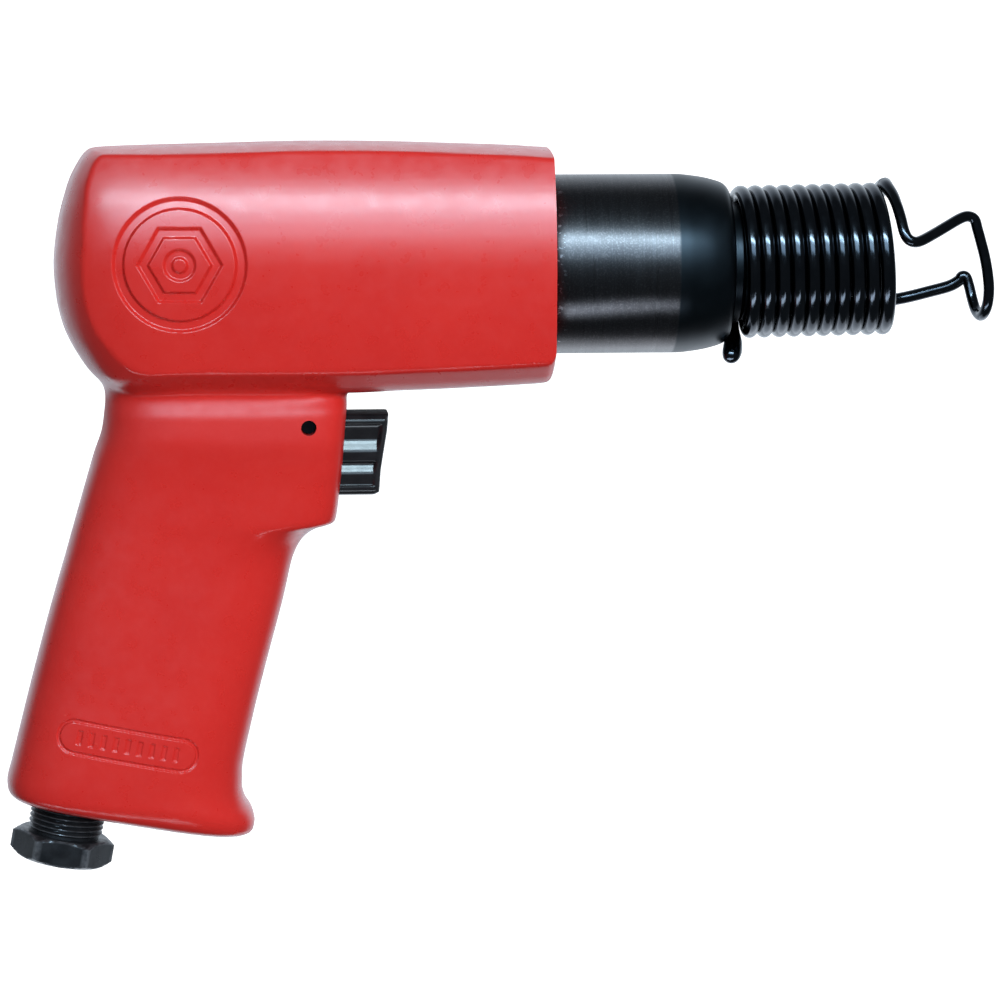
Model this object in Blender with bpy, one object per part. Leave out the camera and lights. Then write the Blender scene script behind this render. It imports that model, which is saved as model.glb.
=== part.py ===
"""Pneumatic air hammer with a pistol handle, a short barrel and a wire tool retainer.

Frame: origin at the centre of the bounding box, +X towards the muzzle, +Z up.
All driving dimensions are in millimetres and are scaled to metres on output.
"""
import math

import bpy
from mathutils import Vector

MM = 0.001

# ---- driving dimensions, mm -------------------------------------------------
GAP = 0.3                 # clearance between pieces that are fixed together
RUN = 0.05                # radial clearance of running fits
AXIS_Z = 59.0             # height of the barrel's axis

HOUSING_FRONT_X = 11.7
HOUSING_MID_Z = 58.0
HOUSING_TOP_SPAN = 31.2
HOUSING_BOTTOM_SPAN = 29.0
HOUSING_LENGTH = 121.8
HOUSING_BORE_R = 20.0
HOUSING_BORE_END_X = -98.0
EXHAUST_RELIEF_R = 21.2
EXHAUST_RELIEF_X = (-66.0, -58.0)

BARREL_R = 22.2
BARREL_SPIGOT_R = HOUSING_BORE_R - GAP
BARREL_REAR_X = -70.0
BARREL_SHOULDER_X = 43.5
BARREL_NOSE_START_X = 56.8
BARREL_NOSE_R = 14.2
BARREL_COLLAR_R = 15.0
BARREL_COLLAR_END_X = 59.0
BARREL_NOSE_END_X = 86.0
CYLINDER_BORE_R = 9.5
CYLINDER_END_X = 40.0
SOCKET_R = 5.15
PORT_R = 1.8
O_RING_R = 0.95
O_RING_X = 5.0
O_RING_GROOVE_R = 17.4

PISTON_LENGTH = 43.0
PISTON_R = CYLINDER_BORE_R - RUN
VALVE_BLOCK_X = (-82.3, BARREL_REAR_X - GAP)
VALVE_CHAMBER_R = 12.0
VALVE_CHAMBER_DEPTH = 6.0
VALVE_CAP_X = (-92.0, -82.6)
VALVE_RING_LENGTH = 3.4
BUFFER_X = (-97.7, -92.3)
DOWEL_R = 1.5
DOWEL_PITCH_R = 15.8

TRIGGER_PIN = (-48.3, 20.9)
TRIGGER_PIN_R = 1.6
TRIGGER_PIN_LENGTH = 34.0
TRIGGER_HALF_WIDTH = 7.0
TRIGGER_EDGE = 0.8
THROTTLE_Z = 7.0
THROTTLE_BUSHING_X = (-73.0, -57.0)
THROTTLE_BORE_R = 7.3
THROTTLE_CHAMBER_R = 5.5
THROTTLE_CHAMBER_END_X = -91.0
STEM_R = 2.0
STEM_TIP_X = -52.1
STEM_TIP_CHAMFER = 1.2

INLET_TILT = math.radians(10.6)
INLET_FOOT = (-108.1, -75.3)
INLET_NECK_R = 9.3
INLET_THREAD_PITCH = 1.3
INLET_BORE_R = 5.9
HEX_ACROSS_FLATS = 22.2
HEX_START = 7.6
HEX_HEIGHT = 6.8
EXHAUST_FOOT = (-81.0, -80.3)

WIRE_R = 1.7
WIRE_SIDES = 6
LATCH_WIRE_R = 1.42
LATCH_WIRE_SIDES = 8
COIL_R = 17.2
COIL_LIFT = 1.15          # rise of the last part of the coil, where the latch starts
COIL_PITCH = 3.67
COIL_TILT = (0.009, 0.043)
COIL_START_X = 58.71
COIL_TURNS_TO_FIRST_TOP = 0.43
COIL_FULL_TURNS = 10
COIL_SPLIT_TURN = 6.4      # turns ahead of this one are a piece of their own
COIL_END_GAP_TURNS = 0.008

FINE = 48
MEDIUM = 32
COARSE = 20
O_RING_SIDES = 6

# ---- shared builders --------------------------------------------------------


def clear_scene():
    for ob in list(bpy.data.objects):
        bpy.data.objects.remove(ob, do_unlink=True)


def make_material(name, colour, roughness, metallic):
    mat = bpy.data.materials.new(name)
    mat.use_nodes = True
    shader = mat.node_tree.nodes["Principled BSDF"]
    shader.inputs["Base Color"].default_value = (*colour, 1.0)
    shader.inputs["Roughness"].default_value = roughness
    shader.inputs["Metallic"].default_value = metallic
    mat.diffuse_color = (*colour, 1.0)
    return mat


def make_object(name, verts, faces, look=None, origin=(0.0, 0.0, 0.0)):
    """Object from millimetre vertices, with its origin moved to a chosen point."""
    shift = Vector(origin)
    mesh = bpy.data.meshes.new(name)
    mesh.from_pydata([(Vector(v) - shift) * MM for v in verts], [], faces)
    mesh.validate()
    mesh.update()
    ob = bpy.data.objects.new(name, mesh)
    bpy.context.scene.collection.objects.link(ob)
    ob.location = shift * MM
    if look:
        mesh.materials.append(make_material(name + "_look", *look))
    return ob


def bridge(rings, closed=False):
    """Quads between successive rings; the ends are capped unless the loft closes on itself."""
    count = len(rings[0])
    faces = []
    last = len(rings) if closed else len(rings) - 1
    for i in range(last):
        a = i * count
        b = ((i + 1) % len(rings)) * count
        for j in range(count):
            k = (j + 1) % count
            faces.append((a + j, a + k, b + k, b + j))
    if not closed:
        faces.append(tuple(reversed(range(count))))
        end = (len(rings) - 1) * count
        faces.append(tuple(range(end, end + count)))
    return faces


def loft(name, rings, look=None, closed=False, origin=(0.0, 0.0, 0.0)):
    verts = [v for ring in rings for v in ring]
    ob = make_object(name, verts, bridge(rings, closed), look, origin)
    orient_outwards(ob)
    return ob


def orient_outwards(ob):
    """Flip the mesh when its signed volume is negative."""
    volume = 0.0
    mesh = ob.data
    for poly in mesh.polygons:
        first = mesh.vertices[poly.vertices[0]].co
        for i in range(1, len(poly.vertices) - 1):
            a = mesh.vertices[poly.vertices[i]].co
            b = mesh.vertices[poly.vertices[i + 1]].co
            volume += first.dot(a.cross(b))
    if volume < 0.0:
        mesh.flip_normals()


def axis_frame(point, direction):
    """Point, direction and two unit vectors square to the direction."""
    d = Vector(direction).normalized()
    side = Vector((0.0, 1.0, 0.0)) if abs(d.y) < 0.9 else Vector((1.0, 0.0, 0.0))
    u = (side - d * side.dot(d)).normalized()
    return Vector(point), d, u, d.cross(u)


def lathe(name, profile, point, direction, count, look=None, origin=(0.0, 0.0, 0.0)):
    """Solid of revolution from (distance along the axis, radius) pairs.

    A profile that starts and ends on the axis makes a solid; any other one closes into a ring.
    """
    base, d, u, v = axis_frame(point, direction)
    solid = profile[0][1] == 0.0 and profile[-1][1] == 0.0
    rows = profile[1:-1] if solid else profile
    rings = []
    for along, radius in rows:
        ring = []
        for j in range(count):
            a = 2.0 * math.pi * (j + 0.5) / count
            ring.append(base + d * along + (u * math.cos(a) + v * math.sin(a)) * radius)
        rings.append(ring)
    return loft(name, rings, look, closed=not solid, origin=origin)


def rod(name, start, end, radius, count=COARSE, look=None, origin=(0.0, 0.0, 0.0)):
    length = (Vector(end) - Vector(start)).length
    profile = [(0.0, 0.0), (0.0, radius), (length, radius), (length, 0.0)]
    return lathe(name, profile, start, Vector(end) - Vector(start), count, look, origin)


def tube_along(name, points, radii, sides, look=None, origin=(0.0, 0.0, 0.0)):
    """Round wire swept along a path, with a frame carried from point to point."""
    pts = [Vector(p) for p in points]
    rings = []
    normal = None
    for i, p in enumerate(pts):
        before = pts[max(i - 1, 0)]
        after = pts[min(i + 1, len(pts) - 1)]
        tangent = (after - before).normalized()
        if normal is None:
            normal = tangent.orthogonal().normalized()
        normal = (normal - tangent * normal.dot(tangent)).normalized()
        binormal = tangent.cross(normal)
        ring = []
        for j in range(sides):
            a = 2.0 * math.pi * j / sides
            ring.append(p + (normal * math.cos(a) + binormal * math.sin(a)) * radii[i])
        rings.append(ring)
    return loft(name, rings, look, origin=origin)


def smooth_path(points, steps):
    """Centripetal-looking Catmull-Rom path through the given points."""
    pts = [Vector(p) for p in points]
    out = []
    for i in range(len(pts) - 1):
        a = pts[max(i - 1, 0)]
        b = pts[i]
        c = pts[i + 1]
        d = pts[min(i + 2, len(pts) - 1)]
        for k in range(steps):
            t = k / steps
            out.append(
                0.5 * (2.0 * b + (c - a) * t + (2.0 * a - 5.0 * b + 4.0 * c - d) * t * t
                       + (3.0 * b - a - 3.0 * c + d) * t ** 3)
            )
    out.append(pts[-1])
    return out


def prism(name, outline, half_width, look=None, origin=(0.0, 0.0, 0.0), y_mid=0.0):
    """Outline in the XZ plane, pushed out both ways along Y."""
    rings = [[(x, y_mid + y, z) for x, z in outline] for y in (-half_width, half_width)]
    return loft(name, rings, look, origin=origin)


def boolean(ob, tool, operation="DIFFERENCE"):
    """Apply an exact boolean and remove the tool."""
    mod = ob.modifiers.new("cut", "BOOLEAN")
    mod.operation = operation
    mod.solver = "EXACT"
    mod.object = tool
    bpy.context.view_layer.update()
    graph = bpy.context.evaluated_depsgraph_get()
    result = bpy.data.meshes.new_from_object(ob.evaluated_get(graph))
    old = ob.data
    name = old.name
    ob.modifiers.clear()
    ob.data = result
    bpy.data.meshes.remove(old)
    ob.data.name = name
    bpy.data.objects.remove(tool, do_unlink=True)


def finish_round(ob, degrees=35.0):
    for poly in ob.data.polygons:
        poly.use_smooth = True
    ob.data.set_sharp_from_angle(angle=math.radians(degrees))


# ---- looks: colour, roughness, metallic -------------------------------------
RED_PAINT = ((0.55, 0.025, 0.02), 0.35, 0.0)
BLACK_OXIDE = ((0.015, 0.017, 0.02), 0.35, 0.8)
BLACK_WIRE = ((0.012, 0.014, 0.018), 0.3, 0.7)
BLACK_PLASTIC = ((0.012, 0.013, 0.015), 0.3, 0.0)
BRIGHT_STEEL = ((0.55, 0.55, 0.56), 0.25, 1.0)
BRASS = ((0.62, 0.45, 0.18), 0.35, 1.0)
RUBBER = ((0.02, 0.02, 0.02), 0.8, 0.0)
BRONZE_MESH = ((0.35, 0.24, 0.12), 0.6, 1.0)
FELT = ((0.45, 0.43, 0.38), 0.9, 0.0)

# ---- housing ----------------------------------------------------------------
# Side outline of the barrel housing at its mid-plane.
HOUSING_REAR = [
    (-99.5, 88.45), (-101.4, 87.8), (-102.9, 86.4), (-104.6, 83.6), (-106.0, 80.8), (-107.3, 76.8),
    (-108.5, 72.4), (-109.5, 66.7), (-110.1, 60.8), (-109.9, 54.9), (-109.1, 49.0), (-107.4, 43.2),
    (-104.6, 37.8), (-101.5, 33.4), (-97.6, 30.2), (-92.0, 29.1),
]
HOUSING_BOTTOM = [
    (-75.0, 28.7), (-55.0, 28.6), (-38.0, 28.7), (-28.3, 29.1), (-16.0, 29.5), (-6.3, 29.9),
    (2.3, 30.3), (9.3, 30.7),
]
HOUSING_FRONT = [
    (11.0, 31.5), (11.7, 33.2), (11.7, 46.0), (11.7, 60.0), (11.7, 74.0), (11.7, 85.6), (11.0, 87.3),
]
HOUSING_TOP = [
    (9.2, 88.05), (2.5, 88.5), (-12.4, 89.05), (-29.7, 89.6), (-50.0, 89.75), (-66.5, 89.4), (-88.5, 88.9),
]
# Half-width, then how far the outline has moved in at the top, the bottom and the rear.
HOUSING_LEVELS = [
    (0.0, 0.0, 0.0, 0.0), (8.0, 0.3, 0.05, 0.9), (14.0, 0.9, 0.25, 2.9), (17.2, 1.4, 0.6, 4.6),
    (18.6, 1.8, 1.3, 5.6), (19.6, 3.5, 1.95, 6.3), (21.0, 6.3, 2.95, 7.4), (22.0, 8.4, 3.75, 8.3),
    (23.6, 12.4, 5.0, 12.0), (25.0, 16.8, 6.2, 17.5), (26.1, 21.6, 15.5, 26.0), (26.7, 25.6, 23.6, 38.0),
]

# Handle sections: rear point, front point (x, z), half-width.
HANDLE_SECTIONS = [
    (-96.5, 50.0, -42.0, 50.0, 16.5), (-97.0, 36.0, -39.5, 36.0, 16.8), (-97.6, 30.0, -38.4, 30.0, 17.4),
    (-97.9, 26.8, -38.5, 26.6, 18.9), (-98.1, 24.2, -38.7, 23.6, 19.8), (-98.8, 19.1, -39.2, 17.6, 19.9),
    (-100.9, 13.0, -39.7, 10.8, 19.0), (-102.7, 7.0, -40.3, 5.0, 18.3), (-104.6, 0.6, -40.9, -0.6, 17.9),
    (-106.0, -4.2, -41.5, -3.6, 17.7), (-107.1, -8.0, -45.2, -5.0, 17.5), (-108.3, -12.2, -49.0, -7.7, 17.4),
    (-110.0, -17.8, -51.7, -12.6, 17.4), (-112.6, -26.8, -54.2, -23.0, 17.6),
    (-117.0, -43.0, -59.6, -43.2, 18.2), (-119.7, -53.4, -62.2, -53.6, 18.8),
    (-122.4, -64.0, -64.9, -66.5, 19.3), (-123.6, -68.4, -65.0, -71.0, 19.4),
    (-123.3, -70.6, -64.2, -74.8, 19.4), (-122.0, -72.3, -62.6, -77.4, 19.0),
    (-120.0, -73.2, -61.9, -80.0, 18.2), (-117.4, -73.6, -62.6, -82.4, 16.8),
    (-114.5, -74.1, -65.0, -83.2, 15.2),
]
HANDLE_SHAPE_POWER = 2.9


def housing_ring(y, top_in, bottom_in, rear_in):
    """The mid-plane outline squeezed towards the housing's centre line."""
    outline = HOUSING_TOP + HOUSING_REAR + HOUSING_BOTTOM + HOUSING_FRONT
    ring = []
    for x, z in outline:
        if z > HOUSING_MID_Z:
            z = HOUSING_MID_Z + (z - HOUSING_MID_Z) * (1.0 - top_in / HOUSING_TOP_SPAN)
        else:
            z = HOUSING_MID_Z + (z - HOUSING_MID_Z) * (1.0 - bottom_in / HOUSING_BOTTOM_SPAN)
        x = HOUSING_FRONT_X + (x - HOUSING_FRONT_X) * (1.0 - rear_in / HOUSING_LENGTH)
        ring.append((x, y, z))
    return ring


def build_housing_shell():
    rings = []
    for y, top_in, bottom_in, rear_in in reversed(HOUSING_LEVELS):
        rings.append(housing_ring(-y, top_in, bottom_in, rear_in))
    for y, top_in, bottom_in, rear_in in HOUSING_LEVELS[1:]:
        rings.append(housing_ring(y, top_in, bottom_in, rear_in))
    return loft("housing", rings, RED_PAINT)


def build_handle_grip():
    rings = []
    count = 36
    for rear_x, rear_z, front_x, front_z, half_width in HANDLE_SECTIONS:
        mid = Vector((0.5 * (rear_x + front_x), 0.0, 0.5 * (rear_z + front_z)))
        along = Vector((0.5 * (front_x - rear_x), 0.0, 0.5 * (front_z - rear_z)))
        ring = []
        for j in range(count):
            a = 2.0 * math.pi * (j + 0.5) / count
            c = math.copysign(abs(math.cos(a)) ** (2.0 / HANDLE_SHAPE_POWER), math.cos(a))
            s = math.copysign(abs(math.sin(a)) ** (2.0 / HANDLE_SHAPE_POWER), math.sin(a))
            ring.append(mid + along * c + Vector((0.0, half_width * s, 0.0)))
        rings.append(ring)
    return loft("grip", rings)


def inlet_point(distance, across=0.0):
    """Point on the air inlet's axis, measured down from the handle's foot."""
    x, z = INLET_FOOT
    return Vector((x - distance * math.sin(INLET_TILT), across, z - distance * math.cos(INLET_TILT)))


def exhaust_point(distance):
    x, z = EXHAUST_FOOT
    return Vector((x - distance * math.sin(INLET_TILT), 0.0, z - distance * math.cos(INLET_TILT)))


def build_housing():
    housing = build_housing_shell()
    boolean(housing, build_handle_grip(), "UNION")
    front = HOUSING_FRONT_X + 5.0
    bore = [
        (HOUSING_BORE_END_X, 0.0), (HOUSING_BORE_END_X, HOUSING_BORE_R),
        (EXHAUST_RELIEF_X[0], HOUSING_BORE_R), (EXHAUST_RELIEF_X[0] + 1.0, EXHAUST_RELIEF_R),
        (EXHAUST_RELIEF_X[1] - 1.0, EXHAUST_RELIEF_R), (EXHAUST_RELIEF_X[1], HOUSING_BORE_R),
        (front, HOUSING_BORE_R), (front, 0.0),
    ]
    boolean(housing, lathe("bore", bore, (0.0, 0.0, AXIS_Z), (1.0, 0.0, 0.0), FINE))
    slot = [(-56.5, -1.2), (-30.0, -1.2), (-30.0, 24.9), (-53.5, 24.9), (-56.5, 21.9)]
    boolean(housing, prism("slot", slot, TRIGGER_HALF_WIDTH + GAP))
    pin_x, pin_z = TRIGGER_PIN
    boolean(housing, rod("pin_hole", (pin_x, -30.0, pin_z), (pin_x, 30.0, pin_z), TRIGGER_PIN_R + GAP))
    throttle = [
        (THROTTLE_CHAMBER_END_X, 0.0), (THROTTLE_CHAMBER_END_X, THROTTLE_CHAMBER_R),
        (THROTTLE_BUSHING_X[0] - GAP, THROTTLE_CHAMBER_R), (THROTTLE_BUSHING_X[0] - GAP, THROTTLE_BORE_R),
        (-50.0, THROTTLE_BORE_R), (-50.0, 0.0),
    ]
    boolean(housing, lathe("throttle", throttle, (0.0, 0.0, THROTTLE_Z), (1.0, 0.0, 0.0), COARSE))
    supply_x = 0.5 * (VALVE_CAP_X[0] + VALVE_CAP_X[1])
    boolean(housing, rod("supply", (-68.0, 0.0, THROTTLE_Z), (supply_x, 0.0, 48.0), 3.0))
    inlet_bore = rod("inlet", inlet_point(-18.5), inlet_point(8.0), INLET_NECK_R - 1.0 + GAP, MEDIUM)
    boolean(housing, inlet_bore)
    feed_start = inlet_point(-16.0)
    boolean(housing, rod("feed", feed_start, (-84.0, 0.0, THROTTLE_Z), 4.0))
    boolean(housing, rod("muffler_bore", exhaust_point(-14.0), exhaust_point(6.0), 6.8, COARSE))
    boolean(housing, rod("exhaust", (-79.5, 2.0, -71.0), (-63.0, 15.0, 50.0), 2.5, 16))
    finish_round(housing, 28.0)
    return housing


# ---- barrel and hammer ------------------------------------------------------


def build_barrel():
    spigot = BARREL_SPIGOT_R
    groove = (O_RING_X - O_RING_R - GAP, O_RING_X + O_RING_R + GAP)
    profile = [
        (BARREL_REAR_X, CYLINDER_BORE_R), (BARREL_REAR_X, spigot - 0.8), (BARREL_REAR_X + 0.8, spigot),
        (groove[0], spigot), (groove[0], O_RING_GROOVE_R), (groove[1], O_RING_GROOVE_R), (groove[1], spigot),
        (HOUSING_FRONT_X + GAP, spigot), (HOUSING_FRONT_X + GAP, BARREL_R - 0.4),
        (HOUSING_FRONT_X + GAP + 0.4, BARREL_R), (BARREL_SHOULDER_X, BARREL_R),
        (BARREL_SHOULDER_X + 3.2, BARREL_R - 0.25), (BARREL_SHOULDER_X + 7.4, BARREL_R - 0.9),
        (BARREL_SHOULDER_X + 11.0, BARREL_R - 1.9), (BARREL_SHOULDER_X + 12.3, BARREL_R - 2.7),
        (BARREL_SHOULDER_X + 13.0, BARREL_R - 3.7), (BARREL_SHOULDER_X + 13.3, BARREL_R - 5.2),
        (BARREL_NOSE_START_X, BARREL_COLLAR_R),
        (BARREL_COLLAR_END_X, BARREL_COLLAR_R), (BARREL_COLLAR_END_X + 0.8, BARREL_NOSE_R),
        (BARREL_NOSE_END_X - 1.2, BARREL_NOSE_R),
        (BARREL_NOSE_END_X, BARREL_NOSE_R - 1.2), (BARREL_NOSE_END_X, SOCKET_R + 0.6),
        (BARREL_NOSE_END_X - 0.6, SOCKET_R), (CYLINDER_END_X, SOCKET_R), (CYLINDER_END_X, CYLINDER_BORE_R),
    ]
    barrel = lathe("barrel", profile, (0.0, 0.0, AXIS_Z), (1.0, 0.0, 0.0), FINE, BLACK_OXIDE)
    port_x = 0.5 * (EXHAUST_RELIEF_X[0] + EXHAUST_RELIEF_X[1])
    reach = BARREL_R + 2.0
    boolean(barrel, rod("port", (port_x, -reach, AXIS_Z), (port_x, reach, AXIS_Z), PORT_R, 12))
    finish_round(barrel)


def ring_profile(x0, x1, inner, outer, edge=0.4):
    """Closed profile of a plain ring with its outer edges broken."""
    outside = [(x0, outer - edge), (x0 + edge, outer), (x1 - edge, outer), (x1, outer - edge)]
    return [(x0, inner)] + outside + [(x1, inner)]


def build_hammer_pieces():
    base = (0.0, 0.0, AXIS_Z)
    along = (1.0, 0.0, 0.0)
    start = BARREL_REAR_X + GAP
    end = start + PISTON_LENGTH
    piston = [
        (start, 0.0), (start, PISTON_R - 0.8), (start + 0.8, PISTON_R), (end - 0.8, PISTON_R),
        (end, PISTON_R - 0.8), (end, 0.0),
    ]
    finish_round(lathe("piston", piston, base, along, FINE, BRIGHT_STEEL, origin=base))

    outer = HOUSING_BORE_R - GAP
    x0, x1 = VALVE_BLOCK_X
    chamber_floor = x0 + VALVE_CHAMBER_DEPTH
    block = [
        (x0, VALVE_CHAMBER_R), (x0, outer), (x1, outer), (x1, 4.0), (chamber_floor, 4.0),
        (chamber_floor, VALVE_CHAMBER_R),
    ]
    valve_block = lathe("valve_block", block, base, along, MEDIUM, BRIGHT_STEEL)
    valve_cap = lathe("valve_cap", ring_profile(*VALVE_CAP_X, 3.0, outer), base, along, MEDIUM, BRIGHT_STEEL)
    dowel_x0 = VALVE_CAP_X[0] + 1.5
    dowel_x1 = VALVE_BLOCK_X[1] - 1.5
    for index, side in enumerate((-1.0, 1.0)):
        y = side * DOWEL_PITCH_R
        for target in (valve_block, valve_cap):
            low = (dowel_x0 - GAP, y, AXIS_Z)
            high = (dowel_x1 + GAP, y, AXIS_Z)
            boolean(target, rod("dowel_hole", low, high, DOWEL_R + GAP, 16))
        name = "valve_dowel_%d" % (index + 1)
        dowel = rod(name, (dowel_x0, y, AXIS_Z), (dowel_x1, y, AXIS_Z), DOWEL_R, 16, BRIGHT_STEEL)
        finish_round(dowel)
    finish_round(valve_block)
    finish_round(valve_cap)

    ring = ring_profile(x0, x0 + VALVE_RING_LENGTH, 5.5, VALVE_CHAMBER_R - RUN)
    finish_round(lathe("cycle_valve", ring, base, along, MEDIUM, BRIGHT_STEEL, origin=(x0, 0.0, AXIS_Z)))
    buffer_ring = ring_profile(*BUFFER_X, 6.0, outer - 0.3, 1.0)
    finish_round(lathe("rear_buffer", buffer_ring, base, along, MEDIUM, RUBBER))
    build_o_ring("barrel_o_ring", (O_RING_X, 0.0, AXIS_Z), O_RING_GROOVE_R + GAP + O_RING_R, O_RING_R)


def build_o_ring(name, centre, ring_r, section_r):
    """Torus about an axis along X."""
    profile = []
    for i in range(O_RING_SIDES):
        a = 2.0 * math.pi * i / O_RING_SIDES
        profile.append((section_r * math.cos(a), ring_r + section_r * math.sin(a)))
    finish_round(lathe(name, profile, centre, (1.0, 0.0, 0.0), MEDIUM, RUBBER), 60.0)


# ---- trigger and throttle ---------------------------------------------------
TRIGGER_OUTLINE = [
    (-51.8, 4.0), (-50.6, 2.5), (-41.0, 2.4), (-31.6, 2.4), (-30.5, 3.2), (-30.1, 8.6), (-29.4, 13.0),
    (-28.5, 18.4), (-28.1, 21.4), (-28.9, 22.6), (-44.0, 22.6), (-46.0, 24.1), (-50.2, 24.1), (-51.8, 22.6),
]
TRIGGER_POCKETS = [
    [(-40.9, 15.4), (-31.0, 15.4), (-30.4, 19.6), (-40.9, 19.6)],
    [(-41.2, 9.6), (-31.6, 9.6), (-31.2, 13.6), (-41.2, 13.6)],
    [(-41.6, 5.2), (-31.9, 5.2), (-31.8, 7.8), (-41.6, 7.8)],
]
TRIGGER_POCKET_DEPTH = 2.0


def inset_outline(outline, amount):
    """Move a counter-clockwise outline inwards along the mean of its edge normals."""
    out = []
    count = len(outline)
    for i, (x, z) in enumerate(outline):
        px, pz = outline[i - 1]
        nx, nz = outline[(i + 1) % count]
        tangent = Vector((nx - px, nz - pz)).normalized()
        out.append((x - tangent.y * amount, z + tangent.x * amount))
    return out


def build_trigger():
    pin_x, pin_z = TRIGGER_PIN
    centre = (pin_x, 0.0, pin_z)
    full = TRIGGER_OUTLINE
    small = inset_outline(full, TRIGGER_EDGE)
    mid = inset_outline(full, TRIGGER_EDGE * 0.3)
    w = TRIGGER_HALF_WIDTH
    levels = [(-w, small), (-w + 0.25, mid), (-w + TRIGGER_EDGE, full)]
    levels += [(-y, outline) for y, outline in reversed(levels)]
    rings = [[(x, y, z) for x, z in outline] for y, outline in levels]
    trigger = loft("trigger", rings, BLACK_PLASTIC, origin=centre)
    for pocket in TRIGGER_POCKETS:
        for side in (-1.0, 1.0):
            boolean(trigger, prism("pocket", pocket, TRIGGER_POCKET_DEPTH, y_mid=side * w))
    hole = rod("hole", (pin_x, -w - 2.0, pin_z), (pin_x, w + 2.0, pin_z), TRIGGER_PIN_R + RUN)
    boolean(trigger, hole)
    finish_round(trigger)
    half = 0.5 * TRIGGER_PIN_LENGTH
    pin = rod("trigger_pin", (pin_x, -half, pin_z), (pin_x, half, pin_z), TRIGGER_PIN_R, COARSE, BLACK_OXIDE)
    finish_round(pin)


def build_throttle():
    base = (0.0, 0.0, THROTTLE_Z)
    along = (1.0, 0.0, 0.0)
    x0, x1 = THROTTLE_BUSHING_X
    outer = THROTTLE_BORE_R - GAP
    ring_x = x1 - 3.5
    bushing = [
        (x0, 3.3), (x0, outer), (x0 + 2.0, outer), (x0 + 2.6, 4.9), (x0 + 6.6, 4.9), (x0 + 7.2, outer),
        (ring_x - 1.1, outer), (ring_x - 1.1, 5.3), (ring_x + 1.1, 5.3), (ring_x + 1.1, outer),
        (x1, outer), (x1, STEM_R + RUN), (x0 + 9.0, STEM_R + RUN), (x0 + 9.0, 3.3),
    ]
    part = lathe("throttle_bushing", bushing, base, along, COARSE, BRASS)
    port_x = x0 + 4.6
    reach = outer + 1.0
    boolean(part, rod("port", (port_x, 0.0, THROTTLE_Z - reach), (port_x, 0.0, THROTTLE_Z + reach), 1.4, 12))
    finish_round(part)
    build_o_ring("throttle_bushing_o_ring", (ring_x, 0.0, THROTTLE_Z), 6.3, 0.68)

    head_x = x0 - GAP - 1.5
    stem = [
        (head_x - 2.2, 0.0), (head_x - 2.2, 2.0), (head_x - 1.8, 4.6), (head_x - GAP, 4.6),
        (head_x - GAP, 1.5), (x0 + 9.8, 1.5), (x0 + 10.6, STEM_R), (STEM_TIP_X - STEM_TIP_CHAMFER, STEM_R),
        (STEM_TIP_X, STEM_R - STEM_TIP_CHAMFER), (STEM_TIP_X, 0.0),
    ]
    stem_origin = (STEM_TIP_X, 0.0, THROTTLE_Z)
    finish_round(lathe("throttle_stem", stem, base, along, COARSE, BRIGHT_STEEL, stem_origin))
    seal = ring_profile(head_x, x0 - GAP, 1.8, 4.5, 0.3)
    finish_round(lathe("throttle_seal", seal, base, along, COARSE, RUBBER, stem_origin))

    spring_x1 = head_x - 2.2 - GAP - 0.45
    spring_x0 = THROTTLE_CHAMBER_END_X + GAP + 0.45
    turns = 5
    steps = 10
    points = []
    for i in range(turns * steps + 1):
        a = 2.0 * math.pi * i / steps
        x = spring_x1 + (spring_x0 - spring_x1) * i / (turns * steps)
        points.append((x, 3.0 * math.cos(a), THROTTLE_Z + 3.0 * math.sin(a)))
    spring = tube_along("throttle_spring", points, [0.4] * len(points), 5, BRIGHT_STEEL)
    finish_round(spring, 70.0)


# ---- air inlet and exhaust --------------------------------------------------


def build_inlet():
    down = inlet_point(1.0) - inlet_point(0.0)
    hex_start = HEX_START
    hex_end = HEX_START + HEX_HEIGHT
    top = -15.0
    inner_r = INLET_NECK_R - 1.0
    profile = [(top, INLET_BORE_R), (top, inner_r - 0.6), (top + 0.6, inner_r), (0.45, inner_r)]
    crest = INLET_NECK_R
    root = INLET_NECK_R - 0.7
    at = 0.6
    while at + INLET_THREAD_PITCH < hex_start:
        profile.append((at, root))
        profile.append((at + 0.35 * INLET_THREAD_PITCH, crest))
        profile.append((at + 0.65 * INLET_THREAD_PITCH, crest))
        at += INLET_THREAD_PITCH
    corner = 0.5 * HEX_ACROSS_FLATS / math.cos(math.pi / 6.0)
    profile += [
        (at, root), (hex_start, root), (hex_start, 10.6), (hex_start + 1.25, corner + 0.1),
        (hex_end - 1.25, corner + 0.1), (hex_end, 10.6), (hex_end, INLET_BORE_R + 0.7),
        (hex_end - 0.8, INLET_BORE_R),
    ]
    part = lathe("inlet_bushing", profile, inlet_point(0.0), down, MEDIUM, BLACK_OXIDE)
    # Six flats, two of them facing the sides.
    base, d, u, v = axis_frame(inlet_point(0.0), down)
    half = 0.5 * HEX_ACROSS_FLATS
    for i in range(6):
        a = math.pi * i / 3.0
        outward = u * math.cos(a) + v * math.sin(a)
        sideways = d.cross(outward)
        rings = []
        for along in (hex_start - 0.2, hex_end + 1.0):
            centre = base + d * along
            ring = []
            for out, side in ((half, -9.0), (half + 4.0, -9.0), (half + 4.0, 9.0), (half, 9.0)):
                ring.append(centre + outward * out + sideways * side)
            rings.append(ring)
        boolean(part, loft("flat", rings))
    finish_round(part, 25.0)
    rim = INLET_BORE_R - GAP
    screen = [(top + 1.0, 0.0), (top + 1.0, 3.4), (-4.0, rim), (-3.0, rim), (-3.0, 0.0)]
    finish_round(lathe("inlet_screen", screen, inlet_point(0.0), down, COARSE, BRONZE_MESH))


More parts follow.
